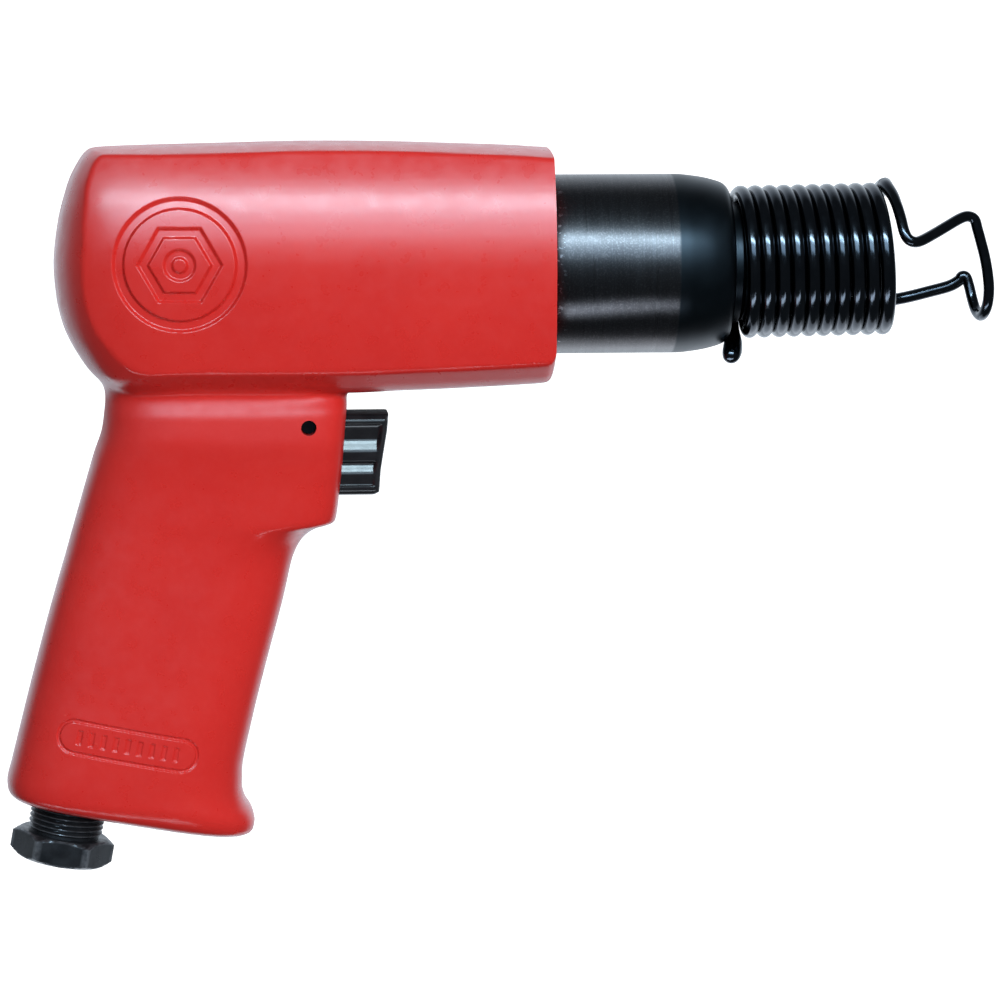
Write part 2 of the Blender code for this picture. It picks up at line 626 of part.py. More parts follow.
def build_exhaust():
    down = inlet_point(1.0) - inlet_point(0.0)
    muffler = [(-11.0, 0.0), (-11.0, 6.5), (-3.0, 6.5), (-3.0, 0.0)]
    finish_round(lathe("exhaust_muffler", muffler, exhaust_point(0.0), down, COARSE, FELT))
    ring = ring_profile(-2.7, -1.5, 4.6, 6.5, 0.25)
    finish_round(lathe("exhaust_retainer", ring, exhaust_point(0.0), down, COARSE, BRIGHT_STEEL))


# ---- wire retainer ----------------------------------------------------------
LATCH_PATH = [
    (96.2, -0.15, 78.3), (96.3, -3.0, 77.8), (97.0, -7.0, 76.0), (97.5, -10.5, 73.6), (98.0, -13.0, 70.8),
    (98.5, -14.8, 67.8), (99.4, -15.6, 65.9), (101.0, -15.6, 65.1), (103.0, -14.6, 65.4),
    (106.7, -12.0, 66.9), (109.9, -10.0, 68.4), (113.8, -7.6, 70.2), (116.0, -6.7, 70.7), (117.7, -6.5, 69.9),
    (118.5, -6.5, 67.5), (119.5, -6.5, 64.1), (120.5, -6.5, 60.4), (121.3, -6.5, 56.1), (121.7, -6.2, 52.4),
    (121.6, -5.2, 48.8), (121.2, -3.0, 46.3), (120.8, 0.0, 45.4), (120.3, 3.2, 46.6), (119.8, 5.3, 49.2),
    (119.2, 6.3, 52.2), (118.5, 6.8, 54.4), (117.5, 7.1, 54.6), (116.7, 7.3, 53.5), (114.3, 7.8, 52.1),
    (109.3, 8.4, 50.7), (105.0, 8.7, 49.6), (101.3, 8.4, 48.9), (97.5, 7.4, 48.5), (95.0, 6.9, 48.4),
]
LATCH_PIVOT = (96.2, 0.0, 78.3)
# The tang behind the first turn: distance along it, wire radius.
TANG_ROWS = [
    (17.5, 0.5), (17.3, 1.1), (16.8, 1.7), (15.8, 2.3), (14.6, 2.45), (13.2, 2.3), (11.6, 2.0), (9.8, 1.8),
    (5.0, WIRE_R),
]


def coil_point(turn):
    """Coil centre line; turn 0 is the first crossing of the top. The turns lean, more so at the front."""
    share = max(0.0, turn) / COIL_FULL_TURNS
    tilt = COIL_TILT[0] + (COIL_TILT[1] - COIL_TILT[0]) * share
    middle_x = COIL_START_X + COIL_PITCH * (COIL_TURNS_TO_FIRST_TOP + turn)
    lift = max(0.0, (turn - COIL_FULL_TURNS + 0.3) / 0.3)
    radius = COIL_R + COIL_LIFT * lift * lift
    a = 2.0 * math.pi * turn
    rise = radius * math.cos(a)
    return Vector((middle_x - rise * tilt, -radius * math.sin(a), 59.2 + 0.018 * (middle_x - 60.0) + rise))


def coil_part(name, lead_points, lead_radii, first, last):
    """Wire that starts with the given lead and follows the coil between two turns."""
    steps_per_turn = 20
    count = int((last - first) * steps_per_turn) + 1
    points = list(lead_points)
    radii = list(lead_radii)
    for i in range(count + 1):
        points.append(coil_point(first + (last - first) * i / count))
        radii.append(WIRE_R)
    finish_round(tube_along(name, points, radii, WIRE_SIDES, BLACK_WIRE), 70.0)


def build_retainer():
    first = -COIL_TURNS_TO_FIRST_TOP
    start = coil_point(first)
    heading = (start - coil_point(first + 0.01)).normalized()
    tang_points = []
    tang_radii = []
    for distance, radius in TANG_ROWS:
        back = -1.6 * (distance / 16.5) ** 3
        tang_points.append(start + heading * distance + Vector((back, 0.0, 0.0)))
        tang_radii.append(radius)
    coil_part("retainer_coil", tang_points, tang_radii, first, COIL_SPLIT_TURN)
    # The wire stops just short of the top, where the latch starts.
    front_start = COIL_SPLIT_TURN + COIL_END_GAP_TURNS
    coil_part("retainer_front_turns", [], [], front_start, COIL_FULL_TURNS - 0.002)

    path = smooth_path(LATCH_PATH, 2)
    latch_radii = [LATCH_WIRE_R] * len(path)
    latch = tube_along("retainer_latch", path, latch_radii, LATCH_WIRE_SIDES, BLACK_WIRE, origin=LATCH_PIVOT)
    finish_round(latch, 70.0)


clear_scene()
build_housing()
build_barrel()
build_hammer_pieces()
build_trigger()
build_throttle()
build_inlet()
build_exhaust()
build_retainer()
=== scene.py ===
"""Fine surfaces, materials and studio for the pneumatic air hammer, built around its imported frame.

Shapes are in millimetres in the frame's own axes and are scaled to metres on output.
"""
import math

import bmesh
import bpy
import numpy as np
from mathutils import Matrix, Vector


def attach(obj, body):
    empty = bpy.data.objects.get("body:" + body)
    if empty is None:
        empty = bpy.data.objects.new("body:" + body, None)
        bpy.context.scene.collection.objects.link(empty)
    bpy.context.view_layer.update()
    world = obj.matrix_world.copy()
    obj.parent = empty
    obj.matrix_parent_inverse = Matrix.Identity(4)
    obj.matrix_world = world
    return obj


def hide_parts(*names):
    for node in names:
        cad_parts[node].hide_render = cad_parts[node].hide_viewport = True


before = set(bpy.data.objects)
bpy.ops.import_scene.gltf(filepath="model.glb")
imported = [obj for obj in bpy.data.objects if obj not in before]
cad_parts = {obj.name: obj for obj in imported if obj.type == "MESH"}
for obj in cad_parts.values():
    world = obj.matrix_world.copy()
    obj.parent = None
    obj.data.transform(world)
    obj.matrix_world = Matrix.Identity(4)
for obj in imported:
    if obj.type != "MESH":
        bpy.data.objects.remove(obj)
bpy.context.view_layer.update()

MM = 0.001

# ---- driving dimensions, mm -------------------------------------------------
AXIS_Z = 59.0
HOUSING_FRONT_X = 11.7
HOUSING_MID_Z = 58.0
HOUSING_TOP_SPAN = 31.2
HOUSING_BOTTOM_SPAN = 29.0
HOUSING_LENGTH = 121.8
HOUSING_BORE_R = 20.0
HOUSING_BORE_END_X = -98.0
HOUSING_VOXEL = 0.72

BARREL_R = 22.2
BARREL_SHOULDER_X = 43.5
BARREL_NOSE_R = 14.2
BARREL_NOSE_END_X = 86.0

TRIGGER_PIN = (-48.3, 20.9)
TRIGGER_HALF_WIDTH = 7.0
THROTTLE_Z = 7.0

INLET_TILT = math.radians(10.6)
INLET_FOOT = (-108.1, -75.3)
INLET_NECK_R = 9.3
INLET_THREAD_PITCH = 1.3
INLET_BORE_R = 5.9
HEX_ACROSS_FLATS = 22.2
HEX_START = 7.6
HEX_HEIGHT = 6.79
EXHAUST_FOOT = (-81.0, -80.3)

WIRE_R = 1.825
LATCH_WIRE_R = 1.37
COIL_R = 17.2
COIL_LIFT = 1.15
COIL_PITCH = 3.67
COIL_TILT = (0.009, 0.043)
COIL_START_X = 58.71
COIL_TURNS_TO_FIRST_TOP = 0.43
COIL_FULL_TURNS = 10

MEDALLION_CENTRE = (-79.25, 61.35)
MEDALLION_RING = (14.0, 15.5)
MEDALLION_WALL = 0.9
LABEL_CENTRE = (-93.2, -57.5)
LABEL_SIZE = (35.0, 8.5)
LABEL_TILT = math.radians(11.0)

# ---- mesh helpers -----------------------------------------------------------


def new_object(name, verts, faces):
    """Object from millimetre vertices."""
    mesh = bpy.data.meshes.new(name)
    mesh.from_pydata([Vector(v) * MM for v in verts], [], faces)
    mesh.validate()
    mesh.update()
    ob = bpy.data.objects.new(name, mesh)
    bpy.context.scene.collection.objects.link(ob)
    return ob


def loft(name, rings, closed=False):
    """Quads between successive rings, with flat end caps unless it closes on itself."""
    count = len(rings[0])
    verts = [v for ring in rings for v in ring]
    faces = []
    spans = len(rings) if closed else len(rings) - 1
    for i in range(spans):
        a = i * count
        b = ((i + 1) % len(rings)) * count
        for j in range(count):
            k = (j + 1) % count
            faces.append((a + j, a + k, b + k, b + j))
    if not closed:
        faces.append(tuple(reversed(range(count))))
        end = (len(rings) - 1) * count
        faces.append(tuple(range(end, end + count)))
    ob = new_object(name, verts, faces)
    face_outwards(ob)
    return ob


def face_outwards(ob):
    """Flip the mesh when its signed volume is negative."""
    bm = bmesh.new()
    bm.from_mesh(ob.data)
    inside_out = bm.calc_volume(signed=True) < 0.0
    bm.free()
    if inside_out:
        ob.data.flip_normals()


def monotone_rows(rows, steps):
    """Smooth rows between the given ones, without overshoot in any column."""
    table = np.array(rows, float)
    count = len(table)
    delta = np.diff(table, axis=0)
    slope = np.zeros_like(table)
    same_way = delta[:-1] * delta[1:] > 0.0
    total = np.where(same_way, delta[:-1] + delta[1:], 1.0)
    mean = np.where(same_way, 2.0 * delta[:-1] * delta[1:] / total, 0.0)
    slope[1:-1] = mean
    slope[0] = delta[0]
    slope[-1] = delta[-1]
    out = []
    for i in range(count - 1):
        for k in range(steps):
            t = k / steps
            h00 = 2 * t ** 3 - 3 * t ** 2 + 1
            h10 = t ** 3 - 2 * t ** 2 + t
            h01 = -2 * t ** 3 + 3 * t ** 2
            h11 = t ** 3 - t ** 2
            out.append(h00 * table[i] + h10 * slope[i] + h01 * table[i + 1] + h11 * slope[i + 1])
    out.append(table[-1])
    return [tuple(row) for row in out]


def smooth_path(points, steps, closed=False):
    """Catmull-Rom curve through the points."""
    pts = [np.array(p, float) for p in points]
    count = len(pts)
    spans = count if closed else count - 1
    out = []
    for i in range(spans):
        if closed:
            a, b, c, d = (pts[(i + k) % count] for k in (-1, 0, 1, 2))
        else:
            a, b, c, d = (pts[min(max(i + k, 0), count - 1)] for k in (-1, 0, 1, 2))
        for k in range(steps):
            t = k / steps
            square = 2.0 * a - 5.0 * b + 4.0 * c - d
            cubic = 3.0 * b - a - 3.0 * c + d
            out.append(0.5 * (2.0 * b + (c - a) * t + square * t * t + cubic * t ** 3))
    if not closed:
        out.append(pts[-1])
    return [tuple(p) for p in out]


def axis_frame(point, direction):
    d = Vector(direction).normalized()
    side = Vector((0.0, 1.0, 0.0)) if abs(d.y) < 0.9 else Vector((1.0, 0.0, 0.0))
    u = (side - d * side.dot(d)).normalized()
    return Vector(point), d, u, d.cross(u)


def lathe(name, profile, point, direction, count):
    """Solid of revolution from (distance along, radius) pairs; a profile off the axis closes into a ring."""
    base, d, u, v = axis_frame(point, direction)
    solid = profile[0][1] == 0.0 and profile[-1][1] == 0.0
    rows = profile[1:-1] if solid else profile
    rings = []
    for along, radius in rows:
        ring = []
        for j in range(count):
            a = 2.0 * math.pi * j / count
            ring.append(base + d * along + (u * math.cos(a) + v * math.sin(a)) * radius)
        rings.append(ring)
    return loft(name, rings, closed=not solid)


def rod(name, start, end, radius, count=48):
    length = (Vector(end) - Vector(start)).length
    profile = [(0.0, 0.0), (0.0, radius), (length, radius), (length, 0.0)]
    return lathe(name, profile, start, Vector(end) - Vector(start), count)


def tube_along(name, points, radii, sides):
    """Round wire swept along a path; the end rings may shrink to round the ends."""
    pts = [Vector(p) for p in points]
    rings = []
    normal = None
    for i, p in enumerate(pts):
        tangent = (pts[min(i + 1, len(pts) - 1)] - pts[max(i - 1, 0)]).normalized()
        if normal is None:
            normal = tangent.orthogonal().normalized()
        normal = (normal - tangent * normal.dot(tangent)).normalized()
        binormal = tangent.cross(normal)
        ring = []
        for j in range(sides):
            a = 2.0 * math.pi * j / sides
            ring.append(p + (normal * math.cos(a) + binormal * math.sin(a)) * radii[i])
        rings.append(ring)
    return loft(name, rings)


def prism(name, outline, half_width, y_mid=0.0):
    rings = [[(x, y_mid + y, z) for x, z in outline] for y in (-half_width, half_width)]
    return loft(name, rings)


def slab(name, columns, rows, place):
    """Closed body between two mirrored sheets; place gives x, half-width and z for two shares."""
    verts = []
    for side in (-1.0, 1.0):
        for i in range(rows + 1):
            for j in range(columns + 1):
                x, half_width, z = place(j / columns, i / rows)
                verts.append((x, side * half_width, z))
    faces = []
    row = columns + 1
    per_side = (rows + 1) * row
    for side in range(2):
        for i in range(rows):
            for j in range(columns):
                a = side * per_side + i * row + j
                quad = (a, a + 1, a + row + 1, a + row)
                faces.append(quad if side == 0 else tuple(reversed(quad)))
    rim = list(range(row))
    rim += [i * row + columns for i in range(1, rows + 1)]
    rim += [rows * row + j for j in range(columns - 1, -1, -1)]
    rim += [i * row for i in range(rows - 1, 0, -1)]
    for i, a in enumerate(rim):
        b = rim[(i + 1) % len(rim)]
        faces.append((b, a, a + per_side, b + per_side))
    ob = new_object(name, verts, faces)
    face_outwards(ob)
    return ob


def join(name, pieces):
    """One object holding all the pieces' faces."""
    bm = bmesh.new()
    for piece in pieces:
        bm.from_mesh(piece.data)
        bpy.data.objects.remove(piece, do_unlink=True)
    mesh = bpy.data.meshes.new(name)
    bm.to_mesh(mesh)
    bm.free()
    ob = bpy.data.objects.new(name, mesh)
    bpy.context.scene.collection.objects.link(ob)
    return ob


def apply_modifier(ob, kind, **settings):
    mod = ob.modifiers.new("work", kind)
    for key, value in settings.items():
        setattr(mod, key, value)
    bpy.context.view_layer.update()
    graph = bpy.context.evaluated_depsgraph_get()
    result = bpy.data.meshes.new_from_object(ob.evaluated_get(graph))
    old = ob.data
    ob.modifiers.clear()
    ob.data = result
    bpy.data.meshes.remove(old)
    ob.data.name = ob.name


def cut(ob, tool, operation="DIFFERENCE", solver="EXACT"):
    apply_modifier(ob, "BOOLEAN", operation=operation, solver=solver, object=tool)
    bpy.data.objects.remove(tool, do_unlink=True)


def shade(ob, degrees):
    ob.data.shade_smooth()
    ob.data.set_sharp_from_angle(angle=math.radians(degrees))


def vertex_array(mesh):
    data = np.empty(len(mesh.vertices) * 3)
    mesh.vertices.foreach_get("co", data)
    return data.reshape(-1, 3)


def relax(mesh, rounds, mask, inflate=0.0):
    """Move points towards the mean of their neighbours; inflate undoes the shrinking."""
    co = vertex_array(mesh)
    edges = np.empty(len(mesh.edges) * 2, dtype=np.int64)
    mesh.edges.foreach_get("vertices", edges)
    a, b = edges.reshape(-1, 2).T
    both = np.concatenate([a, b])
    other = np.concatenate([b, a])
    degree = np.maximum(np.bincount(both, minlength=len(co)), 1)[:, None]
    for _ in range(rounds):
        for factor in (0.5, -inflate) if inflate else (0.5,):
            mean = np.stack([np.bincount(both, co[other, k], len(co)) for k in range(3)], axis=1) / degree
            co += (mean - co) * mask[:, None] * factor
    mesh.vertices.foreach_set("co", co.ravel())
    mesh.update()


def smoothstep(x, low, high):
    t = np.clip((x - low) / (high - low), 0.0, 1.0)
    return t * t * (3.0 - 2.0 * t)


# ---- housing ----------------------------------------------------------------
HOUSING_REAR = [
    (-99.5, 88.45), (-101.4, 87.8), (-102.9, 86.4), (-104.6, 83.6), (-106.0, 80.8), (-107.3, 76.8),
    (-108.5, 72.4), (-109.5, 66.7), (-110.1, 60.8), (-109.9, 54.9), (-109.1, 49.0), (-107.4, 43.2),
    (-104.6, 37.8), (-101.5, 33.4), (-97.6, 30.2), (-92.0, 29.1),
]
HOUSING_BOTTOM = [
    (-75.0, 28.7), (-55.0, 28.6), (-38.0, 28.7), (-28.3, 29.1), (-16.0, 29.5), (-6.3, 29.9),
    (2.3, 30.3), (9.0, 30.7),
]
HOUSING_FRONT = [
    (10.4, 31.1), (11.2, 32.0), (11.7, 33.6), (12.3, 35.6), (14.7, 38.0), (14.7, 46.0), (14.7, 60.0),
    (14.7, 74.0), (14.7, 87.2),
]
HOUSING_TOP = [
    (14.2, 87.8), (9.2, 88.05), (2.5, 88.5), (-12.4, 89.05), (-29.7, 89.6), (-50.0, 89.75), (-66.5, 89.4),
    (-88.5, 88.9),
]
# Half-width, then how far the outline has moved in at the top, the bottom and the rear.
HOUSING_LEVELS = [
    (0.0, 0.0, 0.0, 0.0), (8.0, 0.3, 0.05, 0.9), (14.0, 0.9, 0.25, 2.9), (17.2, 1.4, 0.6, 4.6),
    (18.6, 1.7, 1.3, 5.5), (20.0, 1.95, 2.2, 6.5), (22.0, 2.4, 3.75, 8.1), (24.0, 2.9, 5.35, 9.9),
    (27.5, 3.9, 8.4, 13.4),
]
# The side faces: widest half-width, then fall, reach and power above, below and behind the flat part.
SIDE_HALF_WIDTH = 26.7
SIDE_FLAT = (-65.0, 60.0)
SIDE_FALL_ABOVE = (8.2, 27.4, 1.93)
SIDE_FALL_BELOW = (1.7, 24.4, 2.0)
SIDE_FALL_BEHIND = (5.2, 37.2, 3.2)
SIDE_X = (-113.0, 16.0)
SIDE_Z = (20.0, 95.0)

# Handle sections: rear point, front point (x, z), half-width, how square the front is.
HANDLE_SECTIONS = [
    (-96.5, 50.0, -42.0, 50.0, 16.5, 5.0), (-97.0, 36.0, -39.5, 36.0, 16.8, 5.0),
    (-97.6, 30.0, -38.4, 30.0, 17.4, 5.5), (-97.8, 27.4, -38.5, 27.2, 18.2, 6.0),
    (-97.9, 26.0, -38.5, 25.6, 19.15, 6.2), (-98.1, 24.2, -38.7, 23.6, 19.8, 6.5),
    (-98.8, 19.1, -39.2, 17.6, 19.9, 6.5), (-100.9, 13.0, -39.7, 10.8, 19.0, 6.5),
    (-102.7, 7.0, -40.3, 5.0, 18.3, 6.0),
    (-104.6, 0.6, -40.9, -0.6, 17.9, 5.5), (-106.0, -4.2, -41.5, -3.6, 17.7, 4.8),
    (-107.1, -8.0, -45.2, -5.0, 17.5, 3.8), (-108.3, -12.2, -49.0, -7.7, 17.4, 3.2),
    (-110.0, -17.8, -51.7, -12.6, 17.4, 2.9), (-112.6, -26.8, -54.2, -23.0, 17.6, 2.9),
    (-117.0, -43.0, -59.6, -43.2, 18.2, 2.9), (-119.7, -53.4, -62.2, -53.6, 18.8, 2.9),
    (-122.4, -64.0, -64.9, -66.5, 19.3, 2.9), (-123.5, -68.4, -65.0, -71.0, 19.4, 2.9),
    (-123.3, -70.6, -64.2, -74.8, 19.4, 2.9), (-122.0, -72.3, -62.6, -77.4, 19.0, 2.9),
    (-120.0, -73.2, -61.9, -80.0, 18.2, 2.9), (-117.4, -73.6, -62.6, -82.4, 16.8, 2.9),
    (-114.5, -74.1, -65.0, -83.2, 15.2, 2.9),
]
HANDLE_REAR_POWER = 2.9


def inlet_point(distance, across=0.0):
    """Point on the air inlet's axis, measured down from the handle's foot."""
    x, z = INLET_FOOT
    return Vector((x - distance * math.sin(INLET_TILT), across, z - distance * math.cos(INLET_TILT)))


def exhaust_point(distance):
    x, z = EXHAUST_FOOT
    return Vector((x - distance * math.sin(INLET_TILT), 0.0, z - distance * math.cos(INLET_TILT)))


def squeezed(z, span, move_in):
    return HOUSING_MID_Z + (z - HOUSING_MID_Z) * (1.0 - move_in / span)


def fall(distance, terms):
    amount, reach, power = terms
    return amount * (max(0.0, distance) / reach) ** power


def side_place(across, up):
    """Point of the side face of the barrel housing."""
    x = SIDE_X[0] + (SIDE_X[1] - SIDE_X[0]) * across
    z = SIDE_Z[0] + (SIDE_Z[1] - SIDE_Z[0]) * up
    flat_x, flat_z = SIDE_FLAT
    width = SIDE_HALF_WIDTH - fall(z - flat_z, SIDE_FALL_ABOVE) - fall(flat_z - z, SIDE_FALL_BELOW)
    return x, max(1.0, width - fall(flat_x - x, SIDE_FALL_BEHIND)), z


def barrel_housing_body():
    outline = smooth_path(HOUSING_TOP + HOUSING_REAR + HOUSING_BOTTOM + HOUSING_FRONT, 6, closed=True)
    levels = monotone_rows(HOUSING_LEVELS, 7)
    rings = []
    for side, rows in ((-1.0, list(reversed(levels))), (1.0, levels[1:])):
        for y, top_in, bottom_in, rear_in in rows:
            ring = []
            for x, z in outline:
                if z > HOUSING_MID_Z:
                    z = squeezed(z, HOUSING_TOP_SPAN, top_in)
                else:
                    z = squeezed(z, HOUSING_BOTTOM_SPAN, bottom_in)
                if x < HOUSING_FRONT_X:
                    x = HOUSING_FRONT_X + (x - HOUSING_FRONT_X) * (1.0 - rear_in / HOUSING_LENGTH)
                ring.append((x, side * y, z))
            rings.append(ring)
    body = loft("body", rings)
    cut(body, slab("sides", 80, 60, side_place), "INTERSECT", "MANIFOLD")
    return body


def handle_body():
    rings = []
    count = 96
    for rear_x, rear_z, front_x, front_z, half_width, power in monotone_rows(HANDLE_SECTIONS, 5):
        mid = Vector((0.5 * (rear_x + front_x), 0.0, 0.5 * (rear_z + front_z)))
        along = Vector((0.5 * (front_x - rear_x), 0.0, 0.5 * (front_z - rear_z)))
        ring = []
        for j in range(count):
            a = 2.0 * math.pi * (j + 0.5) / count
            shape = power if math.cos(a) > 0.0 else HANDLE_REAR_POWER
            c = math.copysign(abs(math.cos(a)) ** (2.0 / shape), math.cos(a))
            s = math.copysign(abs(math.sin(a)) ** (2.0 / shape), math.sin(a))
            ring.append(mid + along * c + Vector((0.0, half_width * s, 0.0)))
        rings.append(ring)
    return loft("grip", rings)


def soften_housing(ob):
    """Take off the voxel steps everywhere and blend the neck into a fillet."""
    co = vertex_array(ob.data) / MM
    everywhere = np.ones(len(co))
    relax(ob.data, 4, everywhere, inflate=0.52)
    x, y, z = co.T
    neck = smoothstep(z, 23.0, 27.5) * (1.0 - smoothstep(z, 30.5, 34.0))
    behind = 1.0 - smoothstep(x, -62.0, -41.0)
    relax(ob.data, 56, neck * behind)


def cut_housing(ob):
    bore = [
        (HOUSING_BORE_END_X, 0.0), (HOUSING_BORE_END_X, HOUSING_BORE_R),
        (HOUSING_FRONT_X - 0.6, HOUSING_BORE_R), (HOUSING_FRONT_X, HOUSING_BORE_R + 0.6),
        (HOUSING_FRONT_X, 60.0), (HOUSING_FRONT_X + 20.0, 60.0), (HOUSING_FRONT_X + 20.0, 0.0),
    ]
    slot = [(-56.5, -1.2), (-30.0, -1.2), (-30.0, 24.9), (-53.5, 24.9), (-56.5, 21.9)]
    neck_r = INLET_NECK_R - 0.7
    first = [
        lathe("bore", bore, (0.0, 0.0, AXIS_Z), (1.0, 0.0, 0.0), 128),
        prism("slot", slot, TRIGGER_HALF_WIDTH + 0.3),
        rod("inlet", inlet_point(-18.5), inlet_point(8.0), neck_r),
        rod("muffler_bore", exhaust_point(-14.0), exhaust_point(6.0), 6.8),
    ]
    cut(ob, join("cutters", first))
    throttle = [(-91.0, 0.0), (-91.0, 5.5), (-73.3, 5.5), (-73.3, 7.3), (-50.0, 7.3), (-50.0, 0.0)]
    pin_x, pin_z = TRIGGER_PIN
    second = [
        lathe("throttle", throttle, (0.0, 0.0, THROTTLE_Z), (1.0, 0.0, 0.0), 48),
        rod("pin_hole", (pin_x, -30.0, pin_z), (pin_x, 30.0, pin_z), 1.9),
    ]
    cut(ob, join("cutters", second))


def refine_near(ob, chosen, cuts):
    """Subdivide the faces whose centres are chosen by a function of millimetre x, y, z."""
    bm = bmesh.new()
    bm.from_mesh(ob.data)
    edges = set()
    for face in bm.faces:
        c = face.calc_center_median() / MM
        if chosen(c.x, c.y, c.z):
            edges.update(face.edges)
    bmesh.ops.subdivide_edges(bm, edges=list(edges), cuts=cuts, use_grid_fill=True)
    bm.to_mesh(ob.data)
    bm.free()


def medallion_local(x, z):
    return x - MEDALLION_CENTRE[0], z - MEDALLION_CENTRE[1]


def label_local(x, z):
    dx = x - LABEL_CENTRE[0]
    dz = z - LABEL_CENTRE[1]
    c = math.cos(LABEL_TILT)
    s = math.sin(LABEL_TILT)
    return dx * c - dz * s, dx * s + dz * c


def band(distance, low, high, wall):
    """1 between low and high, falling to 0 over the wall's width."""
    return smoothstep(distance, low - wall, low) * (1.0 - smoothstep(distance, high, high + wall))


def hexagon_distance(u, v):
    """Distance from the centre, measured square to the nearest of six flats."""
    out = np.zeros_like(u)
    for i in range(3):
        a = math.radians(30.0 + 60.0 * i)
        out = np.maximum(out, np.abs(u * math.cos(a) + v * math.sin(a)))
    return out


def relief_depth(x, z):
    """Depth in mm of the plain cast emblem and of the ribbed pill near the handle's foot."""
    u, v = medallion_local(x, z)
    r = np.hypot(u, v)
    depth = 0.9 * band(r, MEDALLION_RING[0], MEDALLION_RING[1], MEDALLION_WALL)
    six = hexagon_distance(u, v)
    depth = np.maximum(depth, 0.75 * band(six, 7.0, 8.4, 0.8))
    depth = np.maximum(depth, 0.65 * band(r, 2.2, 3.3, 0.8))
    u, v = label_local(x, z)
    radius = 0.5 * LABEL_SIZE[1]
    straight = 0.5 * LABEL_SIZE[0] - radius
    r = np.hypot(np.maximum(np.abs(u) - straight, 0.0), v)
    depth = np.maximum(depth, 0.42 * band(r, radius - 0.5, radius - 0.1, 0.35))
    inside = 1.0 - smoothstep(r, radius - 1.5, radius - 0.9)
    rib_pitch = 3.0
    rib = np.abs((u / rib_pitch + 0.5) % 1.0 - 0.5) * rib_pitch
    ribs = (1.0 - smoothstep(rib, 0.35, 0.75)) * (1.0 - smoothstep(np.abs(v), 1.5, 1.9))
    ribs = ribs * (1.0 - smoothstep(np.abs(u), 12.6, 13.2))
    return np.maximum(depth, 0.3 * inside * ribs)


def press_relief(ob):
    reach = MEDALLION_RING[1] + MEDALLION_WALL + 0.5

    def near_emblem(x, y, z):
        return abs(y) > 19.0 and math.hypot(*medallion_local(x, z)) < reach

    def near_label(x, y, z):
        u, v = label_local(x, z)
        return abs(y) > 15.0 and abs(u) < 0.5 * LABEL_SIZE[0] + 1.0 and abs(v) < 0.5 * LABEL_SIZE[1] + 1.0

    refine_near(ob, near_emblem, 3)
    refine_near(ob, near_label, 3)
    mesh = ob.data
    co = vertex_array(mesh)
    normals = np.empty(len(co) * 3)
    mesh.vertices.foreach_get("normal", normals)
    normals = normals.reshape(-1, 3)
    x, y, z = (co / MM).T
    outside = (np.abs(normals[:, 1]) > 0.6) & (np.abs(y) > 15.0) & (y * normals[:, 1] > 0.0)
    depth = np.where(outside, relief_depth(x, z), 0.0)
    co -= normals * depth[:, None] * MM
    mesh.vertices.foreach_set("co", co.ravel())
    mesh.update()


def build_housing():
    ob = join("housing_shell", [barrel_housing_body(), handle_body()])
    apply_modifier(ob, "REMESH", mode="VOXEL", voxel_size=HOUSING_VOXEL * MM, adaptivity=0.0)
    soften_housing(ob)
    cut_housing(ob)
    press_relief(ob)
    shade(ob, 32.0)
    return ob


# ---- barrel -----------------------------------------------------------------


def build_barrel():
    shoulder = [
        (BARREL_SHOULDER_X - 6.0, BARREL_R), (BARREL_SHOULDER_X, BARREL_R),
        (BARREL_SHOULDER_X + 3.2, BARREL_R - 0.25), (BARREL_SHOULDER_X + 7.4, BARREL_R - 0.9),
        (BARREL_SHOULDER_X + 11.0, BARREL_R - 1.9), (BARREL_SHOULDER_X + 12.3, BARREL_R - 2.7),
        (BARREL_SHOULDER_X + 13.0, BARREL_R - 3.7), (BARREL_SHOULDER_X + 13.3, BARREL_R - 5.2),
    ]
    curved = smooth_path(shoulder, 6)
    spigot = HOUSING_BORE_R - 0.3
    start = HOUSING_FRONT_X + 0.3
    profile = [
        (-70.0, 9.5), (-70.0, spigot - 0.8), (-69.2, spigot), (3.75, spigot), (3.75, 17.4), (6.25, 17.4),
        (6.25, spigot), (start, spigot), (start, BARREL_R - 0.5), (start + 0.15, BARREL_R - 0.15),
        (start + 0.5, BARREL_R),
    ]
    profile += curved
    profile += [
        (56.8, 16.6), (56.8, 15.2), (57.0, 15.0), (58.8, 15.0), (59.0, 14.8), (59.8, BARREL_NOSE_R),
        (BARREL_NOSE_END_X - 1.2, BARREL_NOSE_R), (BARREL_NOSE_END_X - 0.4, BARREL_NOSE_R - 0.4),
        (BARREL_NOSE_END_X, BARREL_NOSE_R - 1.2), (BARREL_NOSE_END_X, 5.75), (BARREL_NOSE_END_X - 0.6, 5.15),
        (40.0, 5.15), (40.0, 9.5),
    ]
    ob = lathe("barrel_turned", profile, (0.0, 0.0, AXIS_Z), (1.0, 0.0, 0.0), 160)
    cut(ob, rod("port", (-62.0, -24.0, AXIS_Z), (-62.0, 24.0, AXIS_Z), 1.8, 24))
    shade(ob, 30.0)
    return ob


